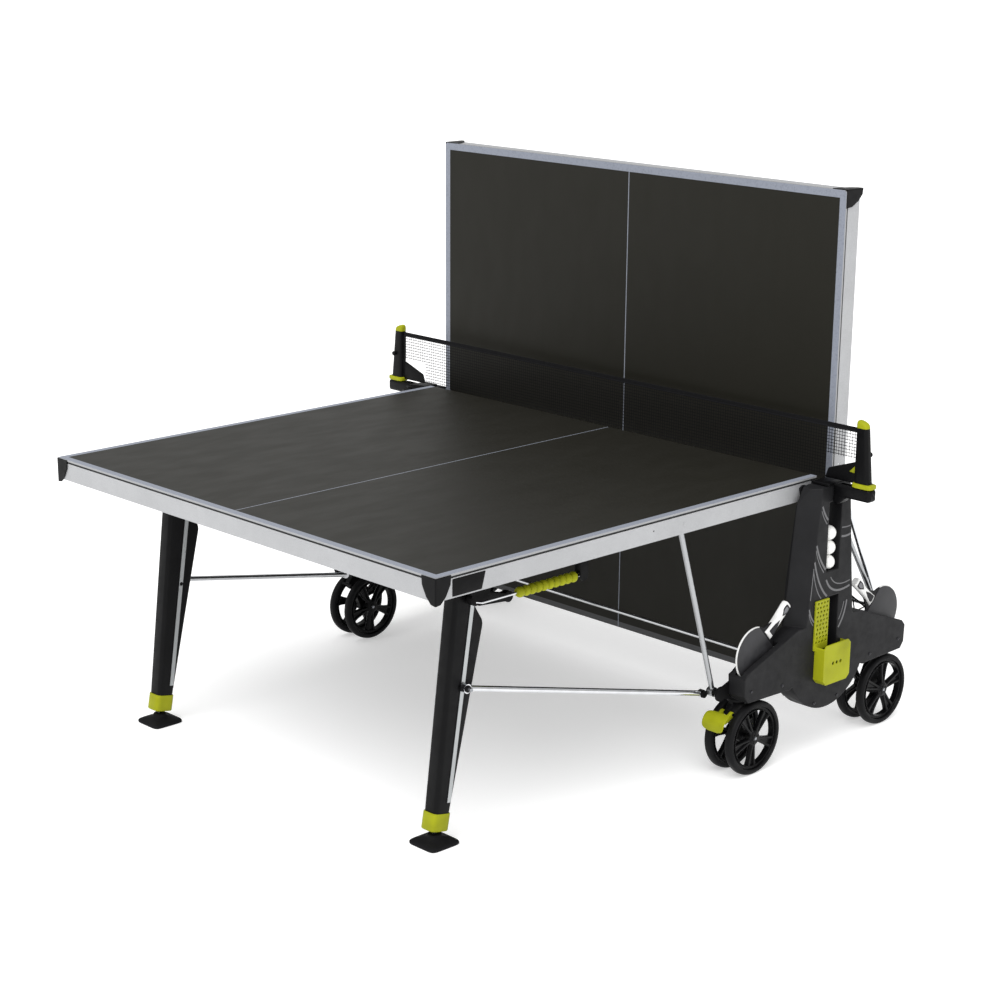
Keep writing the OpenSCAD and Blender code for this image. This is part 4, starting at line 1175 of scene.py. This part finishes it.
class TABLETENNIS_OT_stage(bpy.types.Operator):
    """Floor, lights and camera"""

    bl_idname = "tabletennis.stage"
    bl_label = "Stage"

    # the camera: where it stands from the middle of the net line, and its turn, rise and roll in degrees
    stand = (4.2717, -4.5605, 2.2195)
    aim = (45.9707, 17.6655, 0.4128)

    def execute(self, context):
        settings = context.scene.table_tennis_stage
        self.floor()
        self.lights(settings)
        self.camera(settings)
        return {"FINISHED"}

    def floor(self):
        """A wide pale floor, which glows a little: painted light that lifts the shadows on the floor and
        lights the table from below.
        """
        # Painted light: the floor glows evenly white, lifting the shadows under the table.
        shadow_lifting_glow = {"Emission_Color": (1, 1, 1, 1), "Emission_Strength": 0.42}
        made = Finish("pale floor", 0.7, Specular_IOR_Level=0.1, **shadow_lifting_glow)
        cloud = made.noise(1.5, 3)
        made.colour(made.mix(made.spread(cloud, 0, 1), (0.80, 0.80, 0.80), (0.84, 0.84, 0.84)))
        made.roughness(made.spread(cloud, 0.65, 0.8))
        material = made.normal(made.bump(made.noise(0.01, 2), 0.05, 0.0002))
        mesh = bmesh.new()
        reach, cells = 90.0, 12
        marks = [reach * (2 * k / cells - 1) for k in range(cells + 1)]
        grid = [[mesh.verts.new((x, y, 0)) for x in marks] for y in marks]
        for low, high in zip(grid, grid[1:]):
            for k in range(cells):
                mesh.faces.new((low[k], low[k + 1], high[k + 1], high[k]))
        data = bpy.data.meshes.new("floor")
        mesh.to_mesh(data)
        mesh.free()
        data.materials.append(material)
        floor = bpy.data.objects.new("floor", data)
        bpy.context.scene.collection.objects.link(floor)

    def lights(self, settings):
        """Two wide suns and an even world, which looks brighter to the camera than it lights."""
        scene = bpy.context.scene
        world = bpy.data.worlds.new("studio")
        world.use_nodes = True
        background = world.node_tree.nodes["Background"]
        background.inputs["Color"].default_value = (1, 1, 1, 1)
        seen = world.node_tree.nodes.new("ShaderNodeLightPath").outputs["Is Camera Ray"]
        level = world.node_tree.nodes.new("ShaderNodeMapRange")
        level.inputs["To Min"].default_value = settings.sky
        level.inputs["To Max"].default_value = settings.backdrop
        world.node_tree.links.new(seen, level.inputs["Value"])
        world.node_tree.links.new(level.outputs[0], background.inputs["Strength"])
        scene.world = world
        scene.view_settings.view_transform = "Standard"
        for name, turn, strength, angle in (
            ("overhead", (28, 12, 0), settings.sun, 50),
            ("side", (62, 0, 60), settings.sun * 0.28, 35),
        ):
            light = bpy.data.lights.new(name, "SUN")
            light.energy = strength
            light.angle = math.radians(angle)
            lamp = bpy.data.objects.new(name, light)
            lamp.rotation_euler = [math.radians(value) for value in turn]
            scene.collection.objects.link(lamp)

    def camera(self, settings):
        """The camera, in front of the level half's right-hand corner."""
        scene = bpy.context.scene
        data = bpy.data.cameras.new("camera")
        data.lens = settings.lens
        data.sensor_width = 36
        data.shift_y = 0.1
        camera = bpy.data.objects.new("camera", data)
        turn, rise, roll = (math.radians(value) for value in self.aim)
        back = Vector((math.sin(turn) * math.cos(rise), -math.cos(turn) * math.cos(rise), math.sin(rise)))
        right = Vector((math.cos(turn), math.sin(turn), 0))
        up = back.cross(right)
        right, up = right * math.cos(roll) + up * math.sin(roll), up * math.cos(roll) - right * math.sin(roll)
        axes = Matrix((right, up, back)).transposed()
        stand = Vector(self.stand) + Vector((0, NET_Y, 0))
        camera.matrix_world = Matrix.Translation(stand) @ axes.to_4x4()
        scene.collection.objects.link(camera)
        scene.camera = camera


OPERATORS = (
    TABLETENNIS_OT_stage,
    TABLETENNIS_OT_halves,
    TABLETENNIS_OT_legs,
    TABLETENNIS_OT_rods,
    TABLETENNIS_OT_pods,
    TABLETENNIS_OT_net,
    TABLETENNIS_OT_casters,
    TABLETENNIS_OT_bats,
)
GROUPS = {
    "table_tennis_colours": TABLETENNIS_PG_colours,
    "table_tennis_net": TABLETENNIS_PG_net,
    "table_tennis_bat": TABLETENNIS_PG_bat,
    "table_tennis_stage": TABLETENNIS_PG_stage,
}


class TABLETENNIS_PT_panel(bpy.types.Panel):
    """Sizes, colours and pieces of the table"""

    bl_idname = "TABLETENNIS_PT_panel"
    bl_label = "Table Tennis"
    bl_space_type = "VIEW_3D"
    bl_region_type = "UI"
    bl_category = "Table Tennis"

    def draw(self, context):
        for name, group in GROUPS.items():
            box = self.layout.box()
            for setting in group.__annotations__:
                box.prop(getattr(context.scene, name), setting)
        for operator in OPERATORS:
            self.layout.operator(operator.bl_idname)


def register():
    for kind in (*GROUPS.values(), *OPERATORS, TABLETENNIS_PT_panel):
        bpy.utils.register_class(kind)
    for name, group in GROUPS.items():
        setattr(bpy.types.Scene, name, bpy.props.PointerProperty(type=group))


def unregister():
    for name in GROUPS:
        delattr(bpy.types.Scene, name)
    for kind in (TABLETENNIS_PT_panel, *reversed(OPERATORS), *reversed(GROUPS.values())):
        bpy.utils.unregister_class(kind)


def main():
    register()
    for operator in OPERATORS:
        family, name = operator.bl_idname.split(".")
        getattr(getattr(bpy.ops, family), name)()


if __name__ == "__main__":
    main()
